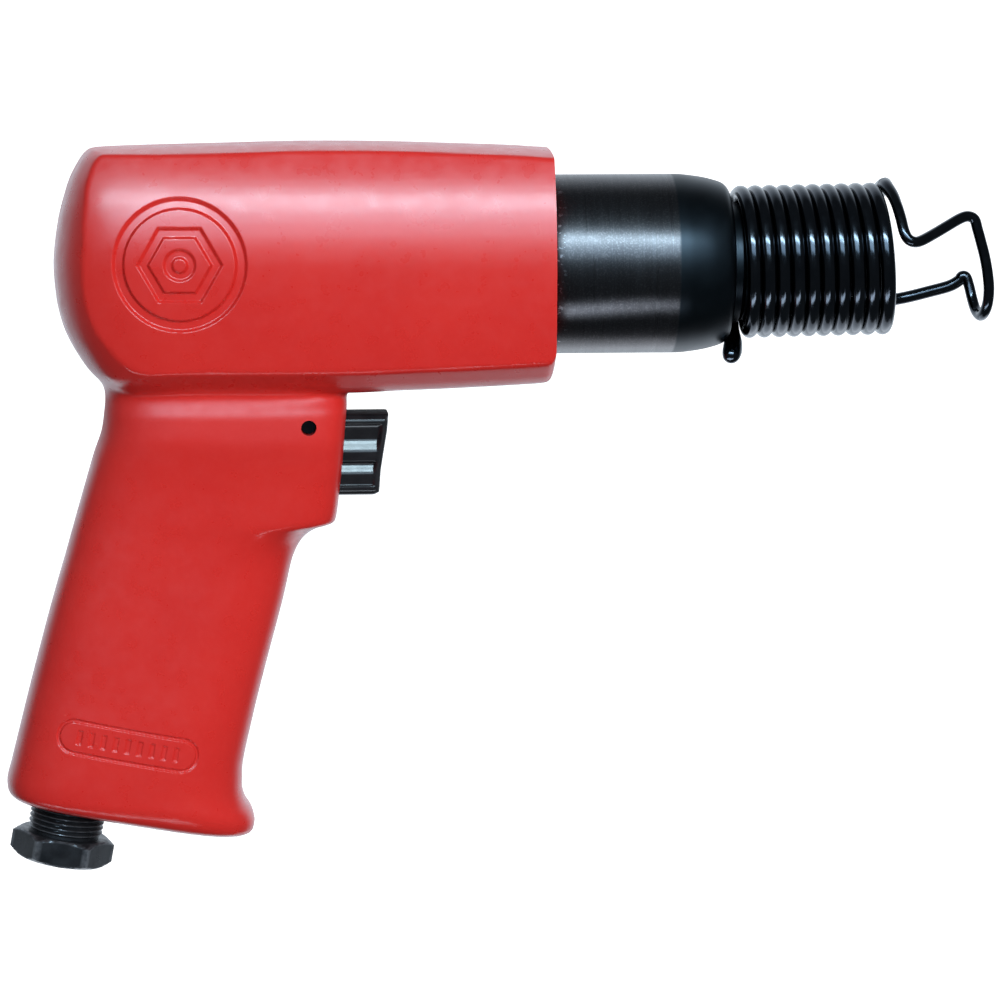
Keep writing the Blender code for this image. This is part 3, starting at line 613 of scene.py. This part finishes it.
# ---- wire retainer ----------------------------------------------------------
LATCH_PATH = [
    (96.2, -0.15, 78.3), (96.3, -3.0, 77.8), (97.0, -7.0, 76.0), (97.5, -10.5, 73.6), (98.0, -13.0, 70.8),
    (98.5, -14.8, 67.8), (99.4, -15.6, 65.9), (101.0, -15.6, 65.1), (103.0, -14.6, 65.4),
    (106.7, -12.0, 66.9), (109.9, -10.0, 68.4), (113.8, -7.6, 70.2), (116.0, -6.7, 70.7), (117.7, -6.5, 69.9),
    (118.5, -6.5, 67.5), (119.5, -6.5, 64.1), (120.5, -6.5, 60.4), (121.3, -6.5, 56.1), (121.7, -6.2, 52.4),
    (121.6, -5.2, 48.8), (121.2, -3.0, 46.3), (120.8, 0.0, 45.4), (120.3, 3.2, 46.6), (119.8, 5.3, 49.2),
    (119.2, 6.3, 52.2), (118.5, 6.8, 54.4), (117.5, 7.1, 54.6), (116.7, 7.3, 53.5), (114.3, 7.8, 52.1),
    (109.3, 8.4, 50.7), (105.0, 8.7, 49.6), (101.3, 8.4, 48.9), (97.5, 7.4, 48.5), (95.0, 6.9, 48.4),
]


def coil_point(turn):
    """Coil centre line; turn 0 is the first crossing of the top. The turns lean, more so at the front."""
    share = max(0.0, turn) / COIL_FULL_TURNS
    tilt = COIL_TILT[0] + (COIL_TILT[1] - COIL_TILT[0]) * share
    middle_x = COIL_START_X + COIL_PITCH * (COIL_TURNS_TO_FIRST_TOP + turn)
    lift = max(0.0, (turn - COIL_FULL_TURNS + 0.3) / 0.3)
    radius = COIL_R + COIL_LIFT * lift * lift
    a = 2.0 * math.pi * turn
    rise = radius * math.cos(a)
    return Vector((middle_x - rise * tilt, -radius * math.sin(a), 59.2 + 0.018 * (middle_x - 60.0) + rise))


def rounded_end(points, radii, radius):
    """Replace the last point by a dome of rings."""
    end = Vector(points[-1])
    heading = (end - Vector(points[-2])).normalized()
    for share in (0.35, 0.62, 0.84, 0.97):
        points.append(tuple(end + heading * radius * share))
        radii.append(radius * math.sqrt(1.0 - share * share))


def build_coil():
    steps = 56
    first = -COIL_TURNS_TO_FIRST_TOP
    start = coil_point(first)
    heading = (coil_point(first) - coil_point(first + 0.01)).normalized()
    # The thick tang at the rear: distance back from the coil's start, radius.
    tail_rows = [
        (17.3, 0.35), (17.25, 0.8), (17.1, 1.2), (16.8, 1.6), (16.2, 2.0), (15.2, 2.3), (13.8, 2.45),
        (12.0, 2.45), (10.0, 2.35), (8.0, 2.1), (6.0, 1.9), (4.0, 1.8), (2.0, WIRE_R), (1.0, WIRE_R),
    ]
    points = []
    radii = []
    for distance, radius in tail_rows:
        back = -1.6 * (distance / 16.5) ** 3
        points.append(start + heading * distance + Vector((back, 0.0, 0.0)))
        radii.append(radius)
    end_turn = COIL_FULL_TURNS - 0.0006
    count = int((end_turn - first) * steps)
    for i in range(count + 1):
        points.append(coil_point(first + (end_turn - first) * i / count))
        radii.append(WIRE_R)
    ob = tube_along("retainer_wire_coil", points, radii, 20)
    shade(ob, 60.0)
    return ob


def build_latch():
    points = [tuple(p) for p in smooth_path(LATCH_PATH, 8)]
    radii = []
    for i in range(len(points)):
        # The wire comes off the coil at its full radius and slims within a few millimetres.
        thick = max(0.0, 1.0 - i / 22.0) + 0.3 * float(smoothstep(i / len(points), 0.74, 0.84))
        radii.append(LATCH_WIRE_R + (WIRE_R - LATCH_WIRE_R) * thick)
    rounded_end(points, radii, LATCH_WIRE_R)
    ob = tube_along("retainer_wire_latch", points, radii, 16)
    shade(ob, 60.0)
    return ob


# ---- trigger ----------------------------------------------------------------
TRIGGER_REAR_X = -51.8
TRIGGER_Z = (2.4, 22.6)
TRIGGER_EDGE = 1.0
TRIGGER_END_ROUND = 2.0
# Sunk panel of each cheek: height, depth; two ridges cross it.
PANEL_ROWS = [
    (2.4, 0.0), (4.6, 0.0), (5.0, 0.5), (5.6, 0.6), (7.5, 0.3), (8.1, 0.4), (10.1, 1.2), (10.4, 1.1),
    (11.2, 0.3), (13.0, 0.25), (13.6, 0.35), (16.4, 1.45), (17.0, 1.35), (19.9, 0.5),
    (20.4, 0.0), (22.6, 0.0),
]
PANEL_CURVE = monotone_rows(PANEL_ROWS, 5)
PANEL_REAR_X = -42.5


def trigger_front_x(z):
    """The finger face's place at a height."""
    heights = [2.4, 3.2, 8.6, 13.0, 18.4, 22.6]
    places = [-31.6, -30.5, -30.1, -29.4, -28.5, -28.1]
    return float(np.interp(z, heights, places))


def rounding(distance, radius):
    """How far a rounded rim has fallen at a distance from its edge."""
    share = max(0.0, 1.0 - distance / radius)
    return radius * (1.0 - math.sqrt(1.0 - share * share))


def cheek_place(across, up):
    """Point of the lever's side, with rounded rims and the sunk ridged panel."""
    low_z, high_z = TRIGGER_Z
    z = low_z + (high_z - low_z) * up
    front_x = trigger_front_x(z)
    x = TRIGGER_REAR_X + (front_x - TRIGGER_REAR_X) * across
    width = TRIGGER_HALF_WIDTH - rounding(min(front_x - x, x - TRIGGER_REAR_X), TRIGGER_EDGE)
    width -= rounding(min(z - low_z, high_z - z), TRIGGER_END_ROUND)
    heights, depths = zip(*PANEL_CURVE)
    behind_front = 1.0 - smoothstep(x, front_x - 2.1, front_x - 1.1)
    panel = float(smoothstep(x, PANEL_REAR_X - 0.6, PANEL_REAR_X + 0.3) * behind_front)
    return x, width - panel * float(np.interp(z, heights, depths)), z


def build_trigger():
    ob = slab("trigger_lever", 64, 150, cheek_place)
    pin_x, pin_z = TRIGGER_PIN
    w = TRIGGER_HALF_WIDTH
    boss = [(-51.6, 21.0), (-44.6, 21.0), (-44.6, 22.7), (-46.0, 24.1), (-50.2, 24.1), (-51.6, 22.6)]
    cut(ob, prism("boss", boss, w - 0.6), "UNION")
    cut(ob, rod("hole", (pin_x, -w - 2.0, pin_z), (pin_x, w + 2.0, pin_z), 1.65))
    shade(ob, 38.0)
    return ob


# ---- air inlet --------------------------------------------------------------


def build_inlet():
    """Threaded neck with a true helix, and a hexagon with turned chamfers."""
    base, d, u, v = axis_frame(inlet_point(0.0), inlet_point(1.0) - inlet_point(0.0))
    sides = 96
    root = INLET_NECK_R - 0.7
    inner = INLET_NECK_R - 1.0
    step = 0.13
    rings = []

    def ring_at(along, radius_at):
        ring = []
        for j in range(sides):
            a = 2.0 * math.pi * j / sides
            ring.append(base + d * along + (u * math.cos(a) + v * math.sin(a)) * radius_at(a))
        rings.append(ring)

    def plain(radius):
        return lambda a: radius

    def hexagon(limit):
        def radius_at(a):
            nearest = (a + math.pi / 6.0) % (math.pi / 3.0) - math.pi / 6.0
            return min(0.5 * HEX_ACROSS_FLATS / math.cos(nearest), limit)
        return radius_at

    for along, radius in ((-15.0, INLET_BORE_R), (-15.0, inner - 0.6), (-14.4, inner), (0.3, inner)):
        ring_at(along, plain(radius))
    along = 0.4
    while along < HEX_START - 0.5:
        fade = min(1.0, (along - 0.4) / 0.5, (HEX_START - 0.5 - along) / 0.5)

        def thread(a, here=along, share=fade):
            phase = (here / INLET_THREAD_PITCH - a / (2.0 * math.pi)) % 1.0
            crest = min(1.0, max(0.0, 2.6 * (0.5 - abs(phase - 0.5)) - 0.1))
            return root + (INLET_NECK_R - root) * crest * share

        ring_at(along, thread)
        along += step
    hex_end = HEX_START + HEX_HEIGHT
    chamfer = 1.25
    corner = 0.5 * HEX_ACROSS_FLATS / math.cos(math.pi / 6.0)
    ring_at(HEX_START - 0.3, plain(root))
    ring_at(HEX_START, plain(root))
    ring_at(HEX_START, plain(10.55))
    for share in (0.05, 0.3, 0.6, 0.85, 1.0):
        ring_at(HEX_START + chamfer * share, hexagon(10.7 + (corner - 10.7) * share))
    for share in (1.0, 0.85, 0.6, 0.3, 0.05):
        ring_at(hex_end - chamfer * share, hexagon(10.7 + (corner - 10.7) * share))
    ring_at(hex_end, plain(10.55))
    ring_at(hex_end, plain(INLET_BORE_R + 0.7))
    ring_at(hex_end - 0.8, plain(INLET_BORE_R))
    ob = loft("inlet_hex_bushing", rings, closed=True)
    shade(ob, 24.0)
    return ob


# ---- materials --------------------------------------------------------------


class Look:
    """A Principled material with small helpers for its procedural detail."""

    def __init__(self, name, colour, roughness, metallic=0.0, **sockets):
        self.mat = bpy.data.materials.new(name)
        self.mat.use_nodes = True
        self.nodes = self.mat.node_tree.nodes
        self.links = self.mat.node_tree.links
        self.shader = self.nodes["Principled BSDF"]
        self.shader.inputs["Base Color"].default_value = (*colour, 1.0)
        self.shader.inputs["Roughness"].default_value = roughness
        self.shader.inputs["Metallic"].default_value = metallic
        for key, value in sockets.items():
            self.shader.inputs[key.replace("_", " ")].default_value = value
        self.mat.diffuse_color = (*colour, 1.0)
        self.place = self.nodes.new("ShaderNodeTexCoord").outputs["Object"]
        self.bump_chain = None

    def stretched(self, scale):
        node = self.nodes.new("ShaderNodeMapping")
        node.inputs["Scale"].default_value = scale
        self.links.new(self.place, node.inputs["Vector"])
        return node.outputs["Vector"]

    def noise(self, scale, detail=3.0, vector=None, rough=0.5):
        node = self.nodes.new("ShaderNodeTexNoise")
        node.inputs["Scale"].default_value = scale
        node.inputs["Detail"].default_value = detail
        node.inputs["Roughness"].default_value = rough
        self.links.new(vector or self.place, node.inputs["Vector"])
        return node.outputs["Fac"]

    def ramp(self, value, stops):
        node = self.nodes.new("ShaderNodeValToRGB")
        node.color_ramp.elements.remove(node.color_ramp.elements[1])
        for i, (at, colour) in enumerate(stops):
            element = node.color_ramp.elements[0] if i == 0 else node.color_ramp.elements.new(at)
            element.position = at
            element.color = (*colour, 1.0)
        self.links.new(value, node.inputs["Fac"])
        return node.outputs["Color"]

    def spread(self, value, low, high, to_low, to_high):
        node = self.nodes.new("ShaderNodeMapRange")
        for socket, number in zip(("From Min", "From Max", "To Min", "To Max"), (low, high, to_low, to_high)):
            node.inputs[socket].default_value = number
        self.links.new(value, node.inputs["Value"])
        return node.outputs["Result"]

    def blend(self, factor, a, b, mode="MIX"):
        node = self.nodes.new("ShaderNodeMix")
        node.data_type = "RGBA"
        node.blend_type = mode
        self.feed(node.inputs["Factor"], factor)
        self.feed(node.inputs[6], a)
        self.feed(node.inputs[7], b)
        return node.outputs[2]

    def maths(self, operation, a, b):
        node = self.nodes.new("ShaderNodeMath")
        node.operation = operation
        self.feed(node.inputs[0], a)
        self.feed(node.inputs[1], b)
        return node.outputs[0]

    def feed(self, socket, value):
        if isinstance(value, bpy.types.NodeSocket):
            self.links.new(value, socket)
        elif isinstance(value, tuple):
            socket.default_value = (*value, 1.0)
        else:
            socket.default_value = value

    def bump(self, height, strength, distance):
        node = self.nodes.new("ShaderNodeBump")
        node.inputs["Strength"].default_value = strength
        node.inputs["Distance"].default_value = distance
        self.links.new(height, node.inputs["Height"])
        if self.bump_chain:
            self.links.new(self.bump_chain, node.inputs["Normal"])
        self.bump_chain = node.outputs["Normal"]
        self.links.new(self.bump_chain, self.shader.inputs["Normal"])
        return self.bump_chain

    def set(self, socket, value):
        self.feed(self.shader.inputs[socket], value)

    def edges(self, low, high):
        """0 in hollows to 1 on outer edges."""
        geometry = self.nodes.new("ShaderNodeNewGeometry")
        return self.spread(geometry.outputs["Pointiness"], low, high, 0.0, 1.0)

    def axis(self, index):
        node = self.nodes.new("ShaderNodeSeparateXYZ")
        self.links.new(self.place, node.inputs[0])
        return node.outputs[index]


def red_paint():
    look = Look("red_paint", (0.62, 0.022, 0.018), 0.34, Coat_Weight=0.15, Coat_Roughness=0.16,
                Specular_Tint=(0.5, 0.95, 1.0, 1.0))
    mottle = look.noise(38.0, 4.0)
    reds = [(0.3, (0.61, 0.020, 0.017)), (0.5, (0.635, 0.023, 0.019)), (0.72, (0.655, 0.026, 0.021))]
    tone = look.ramp(mottle, reds)
    speck = look.noise(900.0, 2.0)
    tone = look.blend(look.spread(speck, 0.45, 0.75, 0.0, 0.05), tone, (0.75, 0.09, 0.07))
    # Painted shade: the paint is darkened in hollows, creases and grooves such as the emblem's rings, where
    # shade would fall.
    painted_crease_shade = look.edges(0.40, 0.48)
    tone = look.blend(painted_crease_shade, (0.52, 0.020, 0.017), tone)
    ridge = look.edges(0.53, 0.6)
    tone = look.blend(look.maths("MULTIPLY", ridge, 0.5), tone, (0.72, 0.075, 0.06))
    look.set("Base Color", tone)
    # The neck under the barrel housing is duller.
    height = look.axis("Z")
    above_grip = look.spread(height, 0.010, 0.019, 0.0, 1.0)
    below_barrel = look.spread(height, 0.027, 0.030, 1.0, 0.0)
    neck = look.maths("MULTIPLY", above_grip, below_barrel)
    polish = look.spread(look.noise(260.0, 3.0), 0.35, 0.65, 0.27, 0.34)
    look.set("Roughness", look.maths("ADD", polish, look.maths("MULTIPLY", neck, 0.15)))
    look.set("Coat Weight", look.spread(neck, 0.0, 1.0, 0.15, 0.0))
    look.set("Specular IOR Level", look.spread(neck, 0.0, 1.0, 0.5, 0.36))
    look.bump(look.noise(620.0, 2.0), 0.05, 0.0002)
    look.bump(look.noise(140.0, 2.0), 0.10, 0.0004)
    return look.mat


def turned_steel():
    """Blued turned steel: bright turned stretch behind the shoulder, smoother and darker ahead of it."""
    look = Look("blued_barrel", (0.05, 0.058, 0.07), 0.34, 1.0)
    x = look.axis("X")
    ahead = look.spread(x, 0.0421, 0.0427, 0.0, 1.0)
    lines = look.noise(1.0, 2.0, look.stretched((5200.0, 30.0, 30.0)), 0.7)
    coarse = look.noise(1.0, 2.0, look.stretched((900.0, 25.0, 25.0)), 0.6)
    cloud = look.noise(90.0, 4.0)
    tone = look.ramp(cloud, [(0.3, (0.056, 0.054, 0.058)), (0.7, (0.072, 0.070, 0.075))])
    tone = look.blend(look.spread(lines, 0.5, 0.8, 0.0, 0.3), tone, (0.12, 0.125, 0.14))
    grain = look.noise(2400.0, 2.0)
    tone = look.blend(look.spread(grain, 0.5, 0.7, 0.0, 0.45), tone, (0.15, 0.145, 0.15))
    dark = look.blend(look.spread(cloud, 0.3, 0.7, 0.0, 1.0), (0.020, 0.025, 0.031), (0.026, 0.033, 0.040))
    tone = look.blend(ahead, tone, dark)
    near_housing = look.spread(x, 0.0125, 0.0155, 1.0, 0.0)
    chips = look.spread(look.noise(820.0, 3.0), 0.60, 0.64, 0.0, 1.0)
    tone = look.blend(look.maths("MULTIPLY", near_housing, chips), tone, (0.32, 0.35, 0.38))
    look.set("Base Color", tone)
    rough = look.spread(coarse, 0.3, 0.7, 0.27, 0.32)
    smooth = look.spread(cloud, 0.3, 0.7, 0.34, 0.42)
    behind = look.spread(ahead, 0.0, 1.0, 1.0, 0.0)
    rear_share = look.maths("MULTIPLY", rough, behind)
    front_share = look.maths("MULTIPLY", smooth, ahead)
    look.set("Roughness", look.maths("ADD", rear_share, front_share))
    look.bump(lines, 0.10, 0.00006)
    look.bump(coarse, 0.03, 0.0001)
    return look.mat


def oiled_wire():
    look = Look("oiled_wire", (0.05, 0.058, 0.07), 0.15, 1.0)
    cloud = look.noise(240.0, 4.0)
    look.set("Base Color", look.ramp(cloud, [(0.3, (0.042, 0.049, 0.060)), (0.7, (0.058, 0.066, 0.078))]))
    look.set("Roughness", look.spread(look.noise(700.0, 3.0), 0.3, 0.7, 0.12, 0.2))
    look.bump(look.noise(1500.0, 3.0), 0.05, 0.0001)
    return look.mat


def moulded_plastic():
    look = Look("trigger_plastic", (0.012, 0.013, 0.016), 0.2, Coat_Weight=0.3, Coat_Roughness=0.08)
    cloud = look.noise(220.0, 3.0)
    tone = look.ramp(cloud, [(0.3, (0.010, 0.011, 0.014)), (0.7, (0.018, 0.020, 0.024))])
    tone = look.blend(look.edges(0.52, 0.6), tone, (0.045, 0.048, 0.055))
    look.set("Base Color", tone)
    # The lever's top is duller than its cheeks.
    top = look.spread(look.axis("Z"), 0.0218, 0.0223, 0.0, 1.0)
    polish = look.spread(look.noise(500.0, 3.0), 0.3, 0.7, 0.12, 0.2)
    look.set("Roughness", look.maths("ADD", polish, look.maths("MULTIPLY", top, 0.5)))
    look.set("Specular IOR Level", look.spread(top, 0.0, 1.0, 0.30, 0.08))
    look.set("Coat Weight", look.spread(top, 0.0, 1.0, 0.12, 0.0))
    look.bump(look.noise(1100.0, 2.0), 0.02, 0.0001)
    return look.mat


def oxide_hexagon():
    look = Look("oxide_hexagon", (0.02, 0.024, 0.03), 0.34, 0.5)
    cloud = look.noise(170.0, 4.0)
    tone = look.ramp(cloud, [(0.3, (0.013, 0.016, 0.021)), (0.7, (0.034, 0.040, 0.048))])
    patchy = look.spread(look.noise(600.0, 3.0), 0.3, 0.6, 0.3, 1.0)
    worn = look.maths("MULTIPLY", look.edges(0.515, 0.6), patchy)
    tone = look.blend(worn, tone, (0.22, 0.25, 0.29))
    look.set("Base Color", tone)
    look.set("Roughness", look.spread(look.noise(420.0, 3.0), 0.3, 0.7, 0.27, 0.42))
    look.bump(look.noise(1300.0, 3.0), 0.12, 0.0001)
    return look.mat


def small_metal(name, colour, dark, roughness):
    """Turned or ground small parts."""
    look = Look(name, colour, roughness, 1.0)
    cloud = look.noise(260.0, 4.0)
    look.set("Base Color", look.ramp(cloud, [(0.3, dark), (0.65, colour)]))
    look.set("Roughness", look.spread(look.noise(1.0, 3.0, look.stretched((3000.0, 300.0, 300.0))), 0.3, 0.7,
                                      roughness - 0.07, roughness + 0.1))
    look.bump(look.noise(1.0, 2.0, look.stretched((4000.0, 200.0, 200.0))), 0.1, 0.0001)
    return look.mat


def soft_part(name, colour, light, grain, strength):
    """Rubber and felt."""
    look = Look(name, colour, 0.85)
    look.set("Base Color", look.ramp(look.noise(grain, 5.0), [(0.3, colour), (0.7, light)]))
    look.set("Roughness", look.spread(look.noise(grain * 2.0, 3.0), 0.3, 0.7, 0.75, 0.95))
    look.bump(look.noise(grain * 1.5, 4.0), strength, 0.0003)
    return look.mat


def dress(ob, material):
    ob.data.materials.clear()
    ob.data.materials.append(material)


def dress_nodes(wire):
    """Better materials for the CAD nodes that stay."""
    steel = small_metal("ground_steel", (0.52, 0.53, 0.55), (0.40, 0.41, 0.43), 0.25)
    brass = small_metal("turned_brass", (0.62, 0.45, 0.18), (0.50, 0.34, 0.12), 0.32)
    gauze = small_metal("bronze_gauze", (0.36, 0.25, 0.12), (0.20, 0.13, 0.06), 0.5)
    rubber = soft_part("seal_rubber", (0.014, 0.014, 0.015), (0.03, 0.03, 0.032), 500.0, 0.2)
    felt = soft_part("muffler_felt", (0.34, 0.32, 0.28), (0.50, 0.48, 0.43), 900.0, 0.8)
    looks = {
        "piston": steel, "valve_block": steel, "valve_cap": steel, "valve_dowel_1": steel,
        "valve_dowel_2": steel, "cycle_valve": steel, "throttle_stem": steel, "throttle_spring": steel,
        "exhaust_retainer": steel, "throttle_bushing": brass, "inlet_screen": gauze, "barrel_o_ring": rubber,
        "rear_buffer": rubber, "throttle_bushing_o_ring": rubber, "throttle_seal": rubber,
        "exhaust_muffler": felt, "trigger_pin": wire,
    }
    for name, material in looks.items():
        dress(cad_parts[name], material)


# ---- studio -----------------------------------------------------------------
CAMERA_DISTANCE = 1.0
CAMERA_SIDE = math.radians(4.7)
CAMERA_UP = math.radians(8.0)
CAMERA_LENS = 144.0
FLOOR_Z = -0.36
LIGHT_TARGET = Vector((0.0, 0.0, 0.03))


def direction(side, up):
    """Unit vector from the object; side 0 is straight in front, along -Y."""
    return Vector((math.sin(side) * math.cos(up), -math.cos(side) * math.cos(up), math.sin(up)))


def aim(ob, target=(0.0, 0.0, 0.0)):
    ob.rotation_euler = (Vector(target) - ob.location).to_track_quat("-Z", "Y").to_euler()


def add_camera():
    data = bpy.data.cameras.new("camera")
    data.lens = CAMERA_LENS
    data.sensor_width = 36.0
    data.clip_end = 60.0
    ob = bpy.data.objects.new("camera", data)
    bpy.context.scene.collection.objects.link(ob)
    ob.location = direction(-CAMERA_SIDE, CAMERA_UP) * CAMERA_DISTANCE
    aim(ob)
    bpy.context.scene.camera = ob


def add_light(name, side, up, distance, size, radiance, colour, on_matt=False):
    """Rectangular lamp for either the matt or the mirror part; its power follows from its radiance."""
    data = bpy.data.lights.new(name, "AREA")
    data.shape = "RECTANGLE"
    data.size, data.size_y = size
    data.energy = radiance * math.pi * size[0] * size[1]
    data.color = colour
    ob = bpy.data.objects.new(name, data)
    bpy.context.scene.collection.objects.link(ob)
    ob.location = direction(math.radians(side), math.radians(up)) * distance + LIGHT_TARGET
    aim(ob, LIGHT_TARGET)
    ob.visible_diffuse = on_matt
    ob.visible_glossy = not on_matt


def add_world():
    """White to the camera, even to matt surfaces, and dark in front and pale behind in reflections."""
    world = bpy.data.worlds.new("studio")
    bpy.context.scene.world = world
    world.use_nodes = True
    nodes = world.node_tree.nodes
    links = world.node_tree.links
    background = nodes["Background"]
    place = nodes.new("ShaderNodeTexCoord")
    split = nodes.new("ShaderNodeSeparateXYZ")
    links.new(place.outputs["Generated"], split.inputs[0])
    behind = nodes.new("ShaderNodeMapRange")
    behind.interpolation_type = "SMOOTHSTEP"
    behind.inputs["From Min"].default_value = 0.3
    behind.inputs["From Max"].default_value = 0.85
    behind.inputs["To Min"].default_value = 0.0
    behind.inputs["To Max"].default_value = 1.0
    links.new(split.outputs["Y"], behind.inputs["Value"])
    mirror_tone = mix_colour(nodes, links, behind.outputs["Result"], (0.07, 0.08, 0.09), (0.98, 1.10, 1.22))
    up = nodes.new("ShaderNodeMapRange")
    up.inputs["From Min"].default_value = -1.0
    up.inputs["From Max"].default_value = 1.0
    links.new(split.outputs["Z"], up.inputs["Value"])
    matt_tone = mix_colour(nodes, links, up.outputs["Result"], (0.05, 0.05, 0.05), (0.50, 0.50, 0.51))
    rays = nodes.new("ShaderNodeLightPath")
    tone = mix_colour(nodes, links, rays.outputs["Is Diffuse Ray"], mirror_tone, matt_tone)
    tone = mix_colour(nodes, links, rays.outputs["Is Camera Ray"], tone, (1.0, 1.0, 1.0))
    links.new(tone, background.inputs["Color"])


def mix_colour(nodes, links, factor, a, b):
    node = nodes.new("ShaderNodeMix")
    node.data_type = "RGBA"
    links.new(factor, node.inputs["Factor"])
    for socket, value in ((node.inputs[6], a), (node.inputs[7], b)):
        if isinstance(value, tuple):
            socket.default_value = (*value, 1.0)
        else:
            links.new(value, socket)
    return node.outputs[2]


def add_floor():
    reach = 40.0
    mesh = bpy.data.meshes.new("floor")
    corners = [(x * reach, y * reach, FLOOR_Z) for x, y in ((-1, -1), (1, -1), (1, 1), (-1, 1))]
    mesh.from_pydata(corners, [], [(0, 1, 2, 3)])
    ob = bpy.data.objects.new("floor", mesh)
    bpy.context.scene.collection.objects.link(ob)
    look = Look("pale_floor", (0.93, 0.93, 0.93), 0.9)
    greys = [(0.3, (0.92, 0.92, 0.92)), (0.7, (0.94, 0.94, 0.94))]
    look.set("Base Color", look.ramp(look.noise(3.0, 2.0), greys))
    look.shader.inputs["Emission Color"].default_value = (1.0, 1.0, 1.0, 1.0)
    look.shader.inputs["Emission Strength"].default_value = 0.95
    mesh.materials.append(look.mat)
    ob.visible_glossy = False
    ob.visible_diffuse = False


def build_studio():
    """Lamps: degrees round and above the object, distance and size in metres, radiance, colour."""
    add_camera()
    add_world()
    add_floor()
    add_light("key_box", -9.0, 28.0, 1.6, (1.7, 0.66), 5.0, (0.60, 0.82, 1.0))
    add_light("key_strip", -9.0, 37.0, 1.55, (1.7, 0.16), 30.0, (0.66, 0.89, 1.0))
    add_light("low_reflector", -30.0, -56.0, 1.3, (1.4, 0.22), 7.0, (0.80, 0.90, 1.0))
    add_light("floor_glow", 180.0, -55.0, 1.3, (1.8, 0.8), 1.2, (0.88, 0.93, 1.0))
    add_light("front_fill", 18.0, 16.0, 1.6, (0.8, 0.8), 11.2, (1.0, 0.97, 0.95), on_matt=True)
    bpy.context.scene.view_settings.view_transform = "Standard"


# ---- the whole piece list ---------------------------------------------------


def place_pieces():
    wire = oiled_wire()
    dress_nodes(wire)
    pieces = [
        (build_housing(), red_paint(), "housing", "housing", "red_paint"),
        (build_barrel(), turned_steel(), "housing", "barrel", "black_oxide"),
        (build_coil(), wire, "housing", "retainer_coil", "black_wire"),
        (build_latch(), wire, "retainer_latch", "retainer_latch", "black_wire"),
        (build_trigger(), moulded_plastic(), "trigger", "trigger", "trigger_plastic"),
        (build_inlet(), oxide_hexagon(), "housing", "inlet_bushing", "black_oxide"),
    ]
    for ob, material, body, node, slot in pieces:
        dress(ob, material)
        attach(ob, body)
        if node == "retainer_coil":
            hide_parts(node, "retainer_front_turns")
        else:
            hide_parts(node)


build_studio()
place_pieces()
